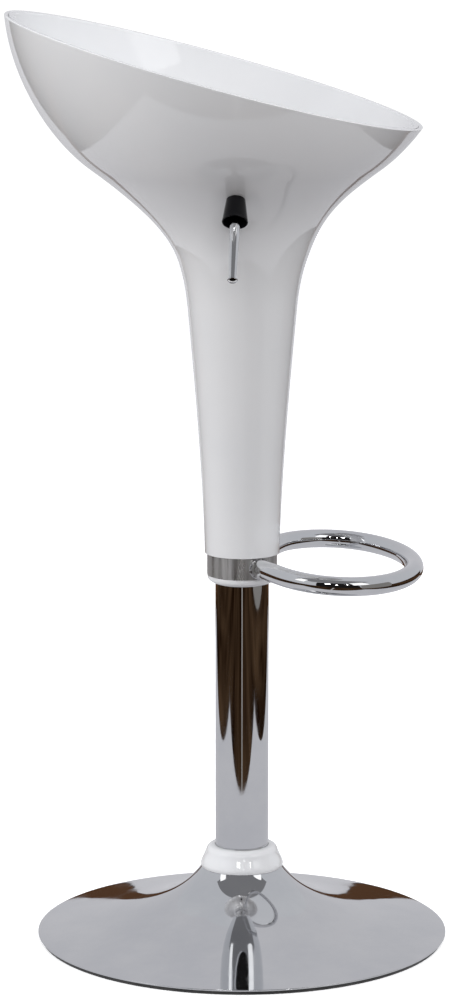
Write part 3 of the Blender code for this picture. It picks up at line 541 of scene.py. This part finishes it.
def plain_steel():
    """Turned and pressed steel with tool marks and a slight oil haze."""
    finish = Finish("plain_steel", metallic=1.0)
    finish.colour(finish.grain(70, 5, 0.6), (0.42, 0.42, 0.43), (0.58, 0.58, 0.59))
    finish.dull(finish.grain(320, 4, stretch=(0.2, 0.2, 1)), 0.26, 0.48)
    finish.raised(finish.grain(1400, 2, stretch=(0.05, 0.05, 1)), 0.000012)
    return finish.material


def black_paint():
    """Black powder coat: fine pebbling and rubbed patches."""
    finish = Finish("black_powder_coat")
    finish.colour(finish.grain(45, 5, 0.6), (0.018, 0.018, 0.019), (0.045, 0.045, 0.046))
    finish.dull(finish.grain(110, 4), 0.36, 0.58)
    finish.raised(finish.grain(1500, 2), 0.00003)
    return finish.material


def black_lacquer():
    """Deep gloss black with a little orange peel and faint wiping marks. The black is a painted reflection: it
    stands in for the dark room that the lever's bell mirrors.
    """
    finish = Finish("black_lacquer", Specular_IOR_Level=0.25)
    # painted reflection: the near-black colour stands in for the dark room mirrored in the bell's front
    finish.colour(finish.grain(120, 4), (0.002, 0.002, 0.003), (0.006, 0.006, 0.007))
    finish.dull(finish.grain(240, 5, stretch=(1, 1, 0.3)), 0.05, 0.14)
    finish.raised(finish.grain(300, 2), 0.000008)
    return finish.material


def nylon():
    """Black nylon with a soft sheen and moulding grain."""
    finish = Finish("black_nylon", Sheen_Weight=0.15)
    finish.colour(finish.grain(80, 4), (0.025, 0.025, 0.028), (0.055, 0.055, 0.06))
    finish.dull(finish.grain(260, 4), 0.42, 0.60)
    finish.raised(finish.grain(1800, 2), 0.00001)
    return finish.material


def rubber():
    """Matt black rubber with dusty bloom."""
    finish = Finish("black_rubber", Sheen_Weight=0.3)
    finish.colour(finish.grain(35, 6, 0.7), (0.012, 0.012, 0.012), (0.04, 0.039, 0.038))
    finish.dull(finish.grain(150, 4), 0.66, 0.88)
    finish.raised(finish.grain(1100, 3), 0.00004)
    return finish.material


def cast_iron():
    """Sand-cast grey iron with light rust in its pits."""
    finish = Finish("cast_iron", metallic=0.5)
    finish.colour(finish.grain(55, 6, 0.7), (0.10, 0.085, 0.075), (0.20, 0.19, 0.19))
    finish.dull(finish.grain(90, 5), 0.60, 0.85)
    finish.raised(finish.grain(380, 5, 0.7), 0.0002)
    return finish.material


FINISHES = {
    "white_plastic": gloss_white(),
    "chrome": chrome(),
    "brushed_band": brushed_band(),
    "plain_steel": plain_steel(),
    "black_paint": black_paint(),
    "black_lacquer": black_lacquer(),
    "nylon": nylon(),
    "rubber": rubber(),
    "cast_iron": cast_iron(),
}
WELD = weld_steel()


def dressed(obj, node, slot, material=None):
    """Gives a fine piece its finish and its body, and hides the CAD node that it stands for."""
    obj.data.materials.clear()
    obj.data.materials.append(material or FINISHES[slot])
    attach(obj, BODY_OF[node])
    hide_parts(node)
    return obj


# ---------------------------------------------------------------- turned pieces


def centre_of(node):
    """The vertical axis of a turned node."""
    low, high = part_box(node)
    return Vector(((low.x + high.x) / 2, (low.y + high.y) / 2, 0))


def mean_vertex(node):
    """The mean of a turned node's different corners, which lies on its axis."""
    spots = {tuple(round(c, 6) for c in v.co) for v in NODES[node].data.vertices}
    return sum((Vector(spot) for spot in spots), Vector()) / len(spots)


HOOD_MIDDLE = mean_vertex("lever_hood")
LEVER_AXIS = (mean_vertex("lever_tip") - HOOD_MIDDLE).normalized()
HOOD_FOOT = min((v.co - HOOD_MIDDLE).dot(LEVER_AXIS) for v in NODES["lever_hood"].data.vertices)
LEVER_EXIT = HOOD_MIDDLE + LEVER_AXIS * (HOOD_FOOT - HOOD_STANDOFF)
LEVER_CORNER = LEVER_EXIT - LEVER_AXIS * (SHELL_WALL * LEVER_BEND_DEPTH)
INNER_LEG_START = Vector((0, PIVOT.y - BRACKET_LENGTH / 2, PIVOT.z))

TURNED = (
    # name, CAD node, slot, how far corners are eased, facets
    ("base_pressing", "base_cover", "chrome", 0.0006, WIDE_STEPS),
    ("rubber_pad", "floor_pad", "rubber", 0.0012, WIDE_STEPS),
    ("ballast_casting", "ballast_plate", "cast_iron", 0.0012, ROUND_STEPS),
    ("column_seat", "column_socket", "plain_steel", 0.0008, ROUND_STEPS),
    ("neck_ring", "base_ring", "white_plastic", 0.0010, ROUND_STEPS),
    ("chromed_column", "column_tube", "chrome", 0.0004, ROUND_STEPS),
    ("foot_plate", "column_foot", "plain_steel", 0.0004, ROUND_STEPS),
    ("sleeve_moulding", "guide_sleeve", "nylon", 0.0006, ROUND_STEPS),
    ("race_below", "lower_race", "plain_steel", 0.0003, SMALL_STEPS),
    ("race_above", "upper_race", "plain_steel", 0.0003, SMALL_STEPS),
    ("gas_spring_rod", "piston_rod", "chrome", 0.0003, SMALL_STEPS),
    ("piston_head", "piston", "nylon", 0.0008, SMALL_STEPS),
    ("retaining_clip", "rod_clip", "plain_steel", 0.0003, SMALL_STEPS),
    ("rubber_bump_stop", "bump_stop", "rubber", 0.0015, SMALL_STEPS),
    ("collar_band", "footrest_collar", "brushed_band", 0.0003, WIDE_STEPS),
    ("bush_moulding", "guide_bush", "white_plastic", 0.0006, ROUND_STEPS),
    ("gas_spring_tube", "pressure_tube", "black_paint", 0.0005, ROUND_STEPS),
    ("end_guide", "tube_end_guide", "nylon", 0.0004, SMALL_STEPS),
    ("valve", "valve_body", "plain_steel", 0.0004, SMALL_STEPS),
    ("hub_sleeve", "taper_hub", "black_paint", 0.0008, ROUND_STEPS),
    ("release_button", "release_pin", "plain_steel", 0.0006, SMALL_STEPS),
)
SCREW_EASE = 0.0003
ON_THE_LEVER = (
    # name, CAD node, slot, how far corners are eased
    # the bell's black finish is a painted reflection of the dark room in front of it
    ("lever_bell", "lever_hood", "black_lacquer", 0.0005),
    ("lever_rod", "lever_handle", "chrome", 0.0006),
    ("lever_end_disc", "lever_tip", "chrome", 0.0005),
)
BOLT_NUMBERS = (1, 2, 3, 4)


def turned(name, node, slot, ease, steps, origin=Vector(), axis=UP):
    """A CAD node's outline, refined and turned again in finer steps."""
    points, closed = outline_of(node, origin, axis)
    dressed(lathe(name, refined(points, closed, ease), closed, origin, axis, steps), node, slot)


def make_turned():
    for name, node, slot, ease, steps in TURNED:
        turned(name, node, slot, ease, steps)
    for i in BOLT_NUMBERS:
        for name, node in ((f"socket_screw_{i}", f"seat_bolt_{i}"), (f"flat_washer_{i}", f"seat_washer_{i}")):
            turned(name, node, "plain_steel", SCREW_EASE, SMALL_STEPS, centre_of(node))
    for name, node, slot, ease in ON_THE_LEVER:
        turned(name, node, slot, ease, SMALL_STEPS, LEVER_EXIT, LEVER_AXIS)
    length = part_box("pivot_pin")[1].x
    obj = bar(PIVOT_PIN_RADIUS, PIVOT - ACROSS * length, PIVOT + ACROSS * length)
    obj.name = "lever_pivot"
    dressed(crisp(obj), "pivot_pin", "plain_steel")


# ---------------------------------------------------------------- shell and dish


def shell_outline():
    """The shell's outer face from the skirt's lower edge to above the back rim."""
    skirt = (SKIRT_RADIUS, SKIRT_BOTTOM)
    stem = (STEM_RADIUS, FRONT_RIM - FLARE_DROP)
    shoulder = (SEAT_RADIUS - SHOULDER_INSET, FRONT_RIM - SHOULDER_DROP)
    rim = (SEAT_RADIUS, BACK_RIM)

    def stretch(a, b, handles, count):
        """A curve from a to b, whose handles are shares of the way out and of the way up."""
        spots = [(a[0] + (b[0] - a[0]) * out, a[1] + (b[1] - a[1]) * up) for out, up in handles]
        return bezier(a, *spots, b, count)

    stem_part = stretch(skirt, stem, STEM_HANDLES, STEM_POINTS)
    flare = stretch(stem, shoulder, FLARE_HANDLES, FLARE_POINTS)
    bowl = stretch(shoulder, rim, BOWL_HANDLES, BOWL_POINTS)
    above = tuple(2 * last - earlier for last, earlier in zip(bowl[-1], bowl[-6]))
    return stem_part + flare[1:] + bowl[1:] + [above]


def setback(height):
    """How far the bowl's centre lies behind the axis at a height: none in the stem."""
    low = FRONT_RIM - SETBACK_LOW
    high = FRONT_RIM - SETBACK_HIGH
    t = min(max((height - low) / (high - low), 0), 1)
    return SEAT_SETBACK * t * t * (3 - 2 * t)


def above_rim(point, angle):
    """How far a point of an outline, turned to an angle, lies above the sloping rim plane."""
    x = point[0] * cos(angle) - setback(point[1])
    return point[1] - (BACK_RIM - (x - SHELL_LOW.x) * tan(RIM_TILT))


def cut_at_rim(points, angle, count, keep):
    """The outline at an angle, ended at the rim plane.

    Its first keep points stay, and count points follow them, spread evenly up to the rim.
    """
    base = points[:keep]
    upper = points[keep - 1 :]
    for i, (low, high) in enumerate(zip(upper, upper[1:])):
        drop_low, drop_high = above_rim(low, angle), above_rim(high, angle)
        if drop_low <= 0 < drop_high:
            share = -drop_low / (drop_high - drop_low)
            end = tuple(a + (b - a) * share for a, b in zip(low, high))
            upper = upper[: i + 1] + [end]
            break
    lengths = [0]
    for a, b in zip(upper, upper[1:]):
        lengths.append(lengths[-1] + hypot(b[0] - a[0], b[1] - a[1]))
    rounding = 0.0000001
    spread = []
    for k in range(1, count + 1):
        target = lengths[-1] * k / count
        i = next(j for j in range(1, len(lengths)) if lengths[j] >= target - rounding)
        share = (target - lengths[i - 1]) / (lengths[i] - lengths[i - 1])
        spread.append(tuple(a + (b - a) * share for a, b in zip(upper[i - 1], upper[i])))
    return base + spread


def lofted(name, section_at):
    """A closed skin through the closed sections at each angle round the axis, set back with height."""
    bm = bmesh.new()
    columns = []
    for i in range(WIDE_STEPS):
        angle = 2 * pi * i / WIDE_STEPS
        columns.append(
            [
                bm.verts.new((r * cos(angle) - setback(z), r * sin(angle), z))
                for r, z in section_at(angle)
            ]
        )
    for i, column in enumerate(columns):
        following = columns[(i + 1) % len(columns)]
        for k in range(len(column)):
            n = (k + 1) % len(column)
            bm.faces.new((column[k], following[k], following[n], column[n]))
    return made(name, bm)


def make_shell():
    outer = shell_outline()
    inner = offset(outer, SHELL_WALL)
    ledge_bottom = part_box("guide_bush")[1].z + TOUCH
    ledge_top = ledge_bottom + LEDGE_THICKNESS
    ledge_bore = COLUMN_RADIUS + LEDGE_REACH
    skirt_bore = inner[0][0]
    ledge = [
        (skirt_bore, SKIRT_BOTTOM),
        (skirt_bore, ledge_bottom),
        (ledge_bore, ledge_bottom),
        (ledge_bore, ledge_top),
        (radius_at(inner, ledge_top), ledge_top),
    ]
    inner = [p for p in inner if p[1] > ledge_top + LEDGE_GAP]
    keep_outer = sum(p[1] < FRONT_RIM - SPREAD_BELOW_RIM for p in outer)
    keep_inner = sum(p[1] < FRONT_RIM - SPREAD_BELOW_RIM for p in inner)

    def section(angle):
        outside = cut_at_rim(outer, angle, SHELL_SPREAD[0], keep_outer)
        inside = cut_at_rim(inner, angle, SHELL_SPREAD[1], keep_inner)
        loop = outside + inside[::-1] + ledge[::-1]
        rim = len(outside) - 1
        corners = (rim, rim + 1, 0, len(loop) - 1)
        return eased_loop(loop, dict(zip(corners, SHELL_RIM_EASES + SKIRT_EDGE_EASES)))

    shell = lofted("shell_moulding", section)
    inward = LEVER_EXIT - LEVER_AXIS * HOLE_REACH_IN
    outward = LEVER_EXIT + LEVER_AXIS * HOLE_REACH_OUT
    carve(shell, bar(HOLE_RADIUS, inward, outward))
    inner_leg = (LEVER_CORNER - INNER_LEG_START).normalized()
    groove_end = LEVER_CORNER + inner_leg * GROOVE_CLEARANCE
    groove_start = groove_end - inner_leg * GROOVE_LENGTH
    carve(shell, bar(LEVER_RADIUS + GROOVE_CLEARANCE, groove_start, groove_end))
    dressed(shell, "seat_shell", "white_plastic")


def eased_loop(loop, eases):
    """A closed loop with the numbered corners eased, each by its own reach."""
    result = []
    for i, here in enumerate(loop):
        if i not in eases:
            result.append(here)
            continue
        spot = Vector(here)
        back = walk(loop, i, -1, eases[i])
        ahead = walk(loop, i, 1, eases[i])
        for k in range(RIM_EASE_STEPS + 1):
            t = k / RIM_EASE_STEPS
            curved = back * (1 - t) ** 2 + spot * 2 * t * (1 - t) + ahead * t * t
            result.append((curved.x, curved.y))
    return result


def walk(loop, i, step, reach):
    """A point towards the next one of a loop, at most just short of it."""
    here = Vector(loop[i])
    way = Vector(loop[(i + step) % len(loop)]) - here
    return here + way.normalized() * min(reach, SECTION_EASE_SHARE * way.length)


def make_dish():
    """The inner dish: a shallow floor, then the shell's curve up to the rim."""
    wall = offset(shell_outline(), SHELL_WALL + GLUE_GAP)
    upper = [p for p in wall if p[1] > FRONT_RIM - DISH_CURVE_DROP]
    start = upper[0]
    along = Vector((upper[1][0] - start[0], upper[1][1] - start[1])).normalized()
    floor_share, side_reach = DISH_HANDLES
    floor_handle = (floor_share * start[0], DISH_UNDERSIDE)
    side_handle = (start[0] - along.x * side_reach, start[1] - along.y * side_reach)
    floor = bezier((DISH_CENTRE, DISH_UNDERSIDE), floor_handle, side_handle, start, DISH_POINTS)
    under = floor + upper[1:]
    top = offset(under, DISH_WALL)
    top[0] = (DISH_CENTRE, DISH_FLOOR)
    keep = len(floor) - DISH_SPREAD_START

    def section(angle):
        outside = cut_at_rim(under, angle, DISH_SPREAD, keep)
        inside = cut_at_rim(top, angle, DISH_SPREAD, keep)
        rim = len(outside) - 1
        return eased_loop(outside + inside[::-1], dict(zip((rim, rim + 1), DISH_RIM_EASES)))

    dish = lofted("dish_moulding", section)
    close_centre(dish)
    dressed(dish, "seat_dish", "white_plastic")
    make_bosses(under)


def make_bosses(under):
    """The four bosses under the dish that take the seat's screws."""
    bottom = PLATE_TOP + TOUCH
    hole_top = PLATE_TOP + BOSS_HOLE_DEPTH
    for i in BOLT_NUMBERS:
        centre = centre_of(f"seat_bolt_{i}")
        reach = hypot(centre.x + SEAT_SETBACK, centre.y)
        top = min(z for r, z in under if r >= reach) + DISH_WALL / 2
        outline = [
            (0, top),
            (BOSS_RADIUS, top),
            (BOSS_RADIUS, bottom),
            (BOSS_HOLE_RADIUS, bottom),
            (BOSS_HOLE_RADIUS, hole_top),
            (0, hole_top),
        ]
        boss = lathe(f"dish_boss_{i}", refined(outline, False, TOUCH), False, centre, steps=SMALL_STEPS)
        dressed(boss, "seat_dish", "white_plastic")


def close_centre(obj):
    """Merges the tiny rings at the centre of the dish into one vertex above and one below."""
    near, no_area = 0.0002, 1e-12
    bm = bmesh.new()
    bm.from_mesh(obj.data)
    for height in (DISH_FLOOR, DISH_UNDERSIDE):
        centre = Vector((-setback(height), 0, height))
        ring = [v for v in bm.verts if (v.co - centre).length < DISH_CENTRE + near]
        bmesh.ops.pointmerge(bm, verts=ring, merge_co=centre)
    bad = [f for f in bm.faces if f.calc_area() < no_area]
    bmesh.ops.delete(bm, geom=bad, context="FACES_ONLY")
    bm.to_mesh(obj.data)
    bm.free()
    obj.data.shade_smooth()


# ---------------------------------------------------------------- footrest


def loop_plan(turn):
    """The loop seen from above: an ellipse that starts inside the collar."""
    middle = (LOOP_REACH + LOOP_START) / 2
    half_length = (LOOP_REACH - LOOP_START) / 2
    return middle - half_length * cos(turn), LOOP_HALF_WIDTH * sin(turn)


def weld_turn():
    """The turn at which the loop's middle line leaves the collar."""
    turn = 0
    step = radians(0.25)
    while hypot(*loop_plan(turn)) < COLLAR_RADIUS:
        turn += step
    return turn


WELD_TURN = weld_turn()


def loop_point(turn):
    """The loop leaves the collar's middle, rises into its plane and slopes down to the front."""
    x, y = loop_plan(turn)
    from_weld = (min(turn, 2 * pi - turn) - WELD_TURN) / LOOP_SETTLE
    settle = 1 - min(max(from_weld, 0), 1)
    plane = LOOP_RISE - x * tan(LOOP_SLOPE)
    at_weld = LOOP_RISE - loop_plan(WELD_TURN)[0] * tan(LOOP_SLOPE)
    return Vector((x, y, LOOP_WELD + plane - at_weld * settle**2))


def on_tube(turn, girth):
    """A point on the tube's surface, girth round its middle line."""
    step = 0.01
    here = loop_point(turn)
    along = (loop_point(turn + step) - loop_point(turn - step)).normalized()
    aside = along.cross(UP).normalized()
    rise = aside.cross(along)
    return here + (aside * cos(girth) + rise * sin(girth)) * LOOP_TUBE_RADIUS


def bead(name, side):
    """An uneven bead of weld where the tube meets the collar; side is 1 at +Y and -1 at -Y."""
    halvings = 30
    points = []
    for k in range(BEAD_POINTS):
        girth = 2 * pi * k / BEAD_POINTS
        low, high = 0.0, WELD_SEARCH
        for _ in range(halvings):
            middle = (low + high) / 2
            if on_tube(middle, girth).xy.length < COLLAR_RADIUS:
                low = middle
            else:
                high = middle
        spot = on_tube(high, girth)
        points.append(Vector((spot.x, spot.y * side, spot.z)))

    def thickness(share, angle):
        own_place = side * 3.0  # in the noise, so that the two beads differ
        ripple = noise.noise(Vector((share * WELD_RIPPLES, angle, own_place)))
        return WELD_RADIUS * (1 + WELD_UNEVENNESS * ripple)

    obj = swept(name, points, thickness, True, BEAD_STEPS)
    obj.data.materials.append(WELD)
    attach(obj, "seat")


def make_footrest():
    start = WELD_TURN * LOOP_HIDDEN
    whole = 2 * pi - 2 * start
    path = [loop_point(start + whole * i / LOOP_POINTS) for i in range(LOOP_POINTS + 1)]
    loop = swept("footrest_ring", path, lambda share, angle: LOOP_TUBE_RADIUS, False)
    middle = Vector((0, 0, LOOP_WELD))
    reach = UP * 0.04
    carve(loop, bar(COLLAR_RADIUS + TOUCH, middle - reach, middle + reach, WIDE_STEPS))
    dressed(loop, "footrest_loop", "chrome")
    bead("weld_left", -1)
    bead("weld_right", 1)


# ---------------------------------------------------------------- lever


def make_lever_shaft():
    back = (INNER_LEG_START - LEVER_CORNER).normalized()
    half = back.angle(LEVER_AXIS) / 2
    middle = LEVER_CORNER + (back + LEVER_AXIS).normalized() * (LEVER_BEND_RADIUS / sin(half))
    reach = LEVER_BEND_RADIUS / tan(half)
    start = LEVER_CORNER + back * reach - middle
    end = LEVER_CORNER + LEVER_AXIS * reach - middle
    turns = [start.slerp(end, i / BEND_STEPS).normalized() for i in range(BEND_STEPS + 1)]
    bend = [middle + turn * LEVER_BEND_RADIUS for turn in turns]
    inner_end = Vector((0, LEVER_INNER_END, PIVOT.z))
    path = [inner_end, INNER_LEG_START] + bend + [LEVER_EXIT + LEVER_AXIS * LEVER_STUB]
    shaft = swept("lever_spindle", path, lambda share, angle: LEVER_RADIUS, False, LEVER_STEPS)
    bore_half = ACROSS * PIVOT_BORE_HALF
    carve(shaft, bar(PIVOT_PIN_RADIUS + TOUCH, PIVOT - bore_half, PIVOT + bore_half))
    dressed(shaft, "lever_shaft", "chrome")


# ---------------------------------------------------------------- pieces that keep their CAD shape

KEPT = {"mounting_plate": "black_paint", "lever_bracket": "black_paint", "ball_cage": "plain_steel"}


def dress_kept():
    for node, slot in KEPT.items():
        mesh = NODES[node].data
        mesh.materials.clear()
        mesh.materials.append(FINISHES[slot])


# ---------------------------------------------------------------- studio

CAMERA_AZIMUTH = radians(3.0)
CAMERA_DISTANCE = 3.5
CAMERA_HEIGHT = 1.07
CAMERA_PITCH = radians(10.53)
CAMERA_YAW = radians(0.262)  # to the left of the stool's axis
FOCAL_PIXELS = 3821
IMAGE_HEIGHT = 999
SENSOR_HEIGHT = 24  # millimetres


def towards_camera(right, ahead, height):
    """A place in the studio: right of the stool as the camera sees it, and ahead, towards the camera."""
    a = CAMERA_AZIMUTH
    return Vector((right * cos(a) + ahead * sin(a), right * sin(a) - ahead * cos(a), height))


def make_camera():
    data = bpy.data.cameras.new("camera")
    data.sensor_fit = "VERTICAL"
    data.sensor_height = SENSOR_HEIGHT
    data.lens = SENSOR_HEIGHT * FOCAL_PIXELS / IMAGE_HEIGHT
    data.clip_end = 100
    camera = bpy.data.objects.new("camera", data)
    camera.location = towards_camera(0, CAMERA_DISTANCE, CAMERA_HEIGHT)
    camera.rotation_euler = (pi / 2 - CAMERA_PITCH, 0, CAMERA_AZIMUTH + CAMERA_YAW)
    bpy.context.scene.collection.objects.link(camera)
    bpy.context.scene.camera = camera


# Corners of the cards that the glossy pieces mirror. Their places are right and ahead of the stool, as
# in towards_camera.


def level(left, right, front, back, height):
    """A level rectangle."""
    spots = ((left, front), (right, front), (right, back), (left, back))
    return [towards_camera(*spot, height) for spot in spots]


def tapering(front, back, half_at_front, half_at_back, height):
    """A level strip along the line to the camera."""
    spots = ((-half_at_front, front), (half_at_front, front), (half_at_back, back), (-half_at_back, back))
    return [towards_camera(*spot, height) for spot in spots]


def facing(right, ahead, width, low, high):
    """An upright rectangle that faces the stool."""
    middle = towards_camera(right, ahead, 0)
    half = UP.cross(middle).normalized() * (width / 2)
    foot, top = UP * low, UP * high
    return [middle - half + foot, middle + half + foot, middle + half + top, middle - half + top]


def upright(near, far, top):
    """An upright rectangle on the floor between two (right, ahead) places."""
    near, far = towards_camera(*near, 0), towards_camera(*far, 0)
    return [near, far, far + UP * top, near + UP * top]


AIR = (0.60, 0.61, 0.64)
GLOWS = {
    # name: colour, strength
    "paper_seen_below": ((0.60, 0.60, 0.63), 1.0),
    "brown_skirting": ((0.085, 0.042, 0.022), 1.0),
    "dark_room": ((0.012, 0.011, 0.011), 1.0),
    "window": ((1, 1, 1), 14.0),
    "pale_strip": ((0.50, 0.49, 0.48), 1.0),
    "ceiling": ((0.22, 0.22, 0.23), 1.0),
    "panel": ((0.25, 0.24, 0.23), 1.0),
    "softbox": ((1, 1, 1), 1.5),
}
BOARD_BROWNS = ((0.009, 0.003, 0.001), (0.075, 0.044, 0.024))

ROOM_CARDS = (
    # name, glow, corners, whether diffuse light meets it too
    ("paper_under_stool", "paper_seen_below", level(-0.80, 0.80, 0.58, -1.3, -0.004), True),
    ("boards_around", "dark_boards", level(-9, 9, 9, -9, -0.006), True),
    ("strip_ahead", "pale_strip", tapering(0.57, 1.9, 0.012, 0.055, -0.003), False),
    ("paper_sweep", "paper_seen_below", facing(0, -1.3, 1.7, 0, 2.6), False),
    ("dark_room_behind_camera", "dark_room", facing(0.5, 4.2, 7.0, 0, 4.4), False),
    ("window_0", "window", facing(-0.8, 4.1, 0.8, 2.7, 3.2), False),
    ("window_1", "window", facing(0.45, 4.1, 0.3, 2.1, 2.4), False),
    ("window_2", "window", facing(1.8, 4.1, 0.8, 2.7, 3.2), False),
    ("dim_ceiling", "ceiling", level(-4, 4, 4.2, 0.5, 4.4), True),
)
SIDE_CARDS = (
    ("pale_panel_right", "panel", facing(1.42, 0.49, 1.3, 0, 0.9), False),
    ("softbox_left", "softbox", facing(-2.7, 1.32, 0.9, 1.6, 3.6), False),
    ("softbox_right", "softbox", facing(2.36, 1.85, 1.5, 1.6, 3.6), False),
)
SKIRTING_HEIGHT = 0.11
SKIRTING_ROUTE = ((0, -1.28), (0.9, -1.28), (3.5, 0.2))  # right and ahead, mirrored to the left

AIM = Vector((0, 0, 0.75))
LAMPS = (
    # name, place, aim, width and height, watts
    ("key_left", towards_camera(-2.3, 0.5, 0.9), AIM, (1.2, 1.6), 31),
    ("top", Vector((0.2, 0.4, 3.0)), Vector((0, 0, 0.5)), (2.4, 2.4), 31),
    ("fill_right", towards_camera(2.4, 0.9, 1.3), AIM, (1.2, 1.6), 16),
    ("front", towards_camera(0.3, 3.4, 2.0), AIM, (2.0, 1.5), 38),
)
FLOOR_HALF = 6
BACKDROP_RADIUS = 14
BACKDROP_STRENGTH = 1.05


def glow(name, colour, strength):
    material = bpy.data.materials.new(name)
    material.use_nodes = True
    shader = material.node_tree.nodes["Principled BSDF"]
    shader.inputs["Base Color"].default_value = (0, 0, 0, 1)
    shader.inputs["Specular IOR Level"].default_value = 0
    shader.inputs["Roughness"].default_value = 1
    shader.inputs["Emission Color"].default_value = (*colour, 1)
    shader.inputs["Emission Strength"].default_value = strength
    return material


def wooden(name, dark, light):
    """Glowing floor boards in streaks of two browns."""
    material = glow(name, light, 1.0)
    tree = material.node_tree
    coordinates = tree.nodes.new("ShaderNodeTexCoord")
    mapping = tree.nodes.new("ShaderNodeMapping")
    mapping.inputs["Scale"].default_value = (1.0, 0.35, 1.0)
    streaks = tree.nodes.new("ShaderNodeTexNoise")
    streaks.inputs["Scale"].default_value = 2.6
    streaks.inputs["Detail"].default_value = 5
    ramp = tree.nodes.new("ShaderNodeValToRGB")
    ramp.color_ramp.elements[0].position = 0.38
    ramp.color_ramp.elements[0].color = (*dark, 1)
    ramp.color_ramp.elements[1].position = 0.66
    ramp.color_ramp.elements[1].color = (*light, 1)
    tree.links.new(coordinates.outputs["Object"], mapping.inputs["Vector"])
    tree.links.new(mapping.outputs["Vector"], streaks.inputs["Vector"])
    tree.links.new(streaks.outputs["Fac"], ramp.inputs["Fac"])
    shader = tree.nodes["Principled BSDF"]
    tree.links.new(ramp.outputs["Color"], shader.inputs["Emission Color"])
    return material


def staged(name, mesh, material):
    """A stage object that isn't part of the stool."""
    mesh.materials.append(material)
    obj = bpy.data.objects.new(name, mesh)
    bpy.context.scene.collection.objects.link(obj)
    return obj


def card(name, corners, material, diffuse):
    """A flat card that only reflections, and bounced light if diffuse, can see."""
    mesh = bpy.data.meshes.new(name)
    mesh.from_pydata([tuple(c) for c in corners], [], [tuple(range(len(corners)))])
    obj = staged(name, mesh, material)
    obj.visible_camera = False
    obj.visible_shadow = False
    obj.visible_diffuse = diffuse


def skirting_cards():
    """A low brown skirting behind the stool, on both sides."""
    rows = []
    for side in (-1, 1):
        route = [(right * side, ahead) for right, ahead in SKIRTING_ROUTE]
        for part, (near, far) in enumerate(zip(route, route[1:])):
            corners = upright(near, far, SKIRTING_HEIGHT)
            rows.append((f"skirting_{side}_{part}", "brown_skirting", corners, False))
    return rows


def make_cards():
    glows = {name: glow(name, *look) for name, look in GLOWS.items()}
    glows["dark_boards"] = wooden("dark_boards", *BOARD_BROWNS)
    for name, look, corners, diffuse in (*ROOM_CARDS, *skirting_cards(), *SIDE_CARDS):
        card(name, corners, glows[look], diffuse)


def lamp(name, place, target, size, power):
    """A soft area lamp that reflections don't show."""
    data = bpy.data.lights.new(name, "AREA")
    data.shape = "RECTANGLE"
    data.size, data.size_y = size
    data.energy = power
    obj = bpy.data.objects.new(name, data)
    obj.location = place
    obj.rotation_euler = (target - place).to_track_quat("-Z", "Y").to_euler()
    obj.visible_glossy = False
    bpy.context.scene.collection.objects.link(obj)


def make_floor():
    """White paper, which the camera sees; reflections see the cards instead."""
    mesh = bpy.data.meshes.new("floor")
    half = FLOOR_HALF
    corners = [(-half, -half, 0), (half, -half, 0), (half, half, 0), (-half, half, 0)]
    mesh.from_pydata(corners, [], [(0, 1, 2, 3)])
    paper = Finish("white_paper", Roughness=0.9, Emission_Color=(1, 1, 1, 1), Emission_Strength=0.5)
    paper.colour(paper.grain(3, 3), (0.86, 0.86, 0.86), (0.88, 0.88, 0.88))
    floor = staged("floor", mesh, paper.material)
    floor.visible_glossy = False
    floor.visible_diffuse = False


def make_backdrop():
    """A white sphere round the studio, which only the camera sees."""
    bm = bmesh.new()
    bmesh.ops.create_uvsphere(bm, u_segments=48, v_segments=24, radius=BACKDROP_RADIUS)
    mesh = bpy.data.meshes.new("backdrop")
    bm.to_mesh(mesh)
    bm.free()
    backdrop = staged("backdrop", mesh, glow("backdrop_white", (1, 1, 1), BACKDROP_STRENGTH))
    backdrop.visible_diffuse = False
    backdrop.visible_glossy = False
    backdrop.visible_shadow = False


def make_studio():
    scene = bpy.context.scene
    scene.view_settings.view_transform = "Standard"
    world = bpy.data.worlds.new("studio_air")
    scene.world = world
    world.use_nodes = True
    air = world.node_tree.nodes["Background"]
    air.inputs["Color"].default_value = (*AIR, 1)
    air.inputs["Strength"].default_value = 1.0
    make_floor()
    make_backdrop()
    make_cards()
    for row in LAMPS:
        lamp(*row)


make_camera()
make_turned()
make_shell()
make_dish()
make_footrest()
make_lever_shaft()
dress_kept()
make_studio()
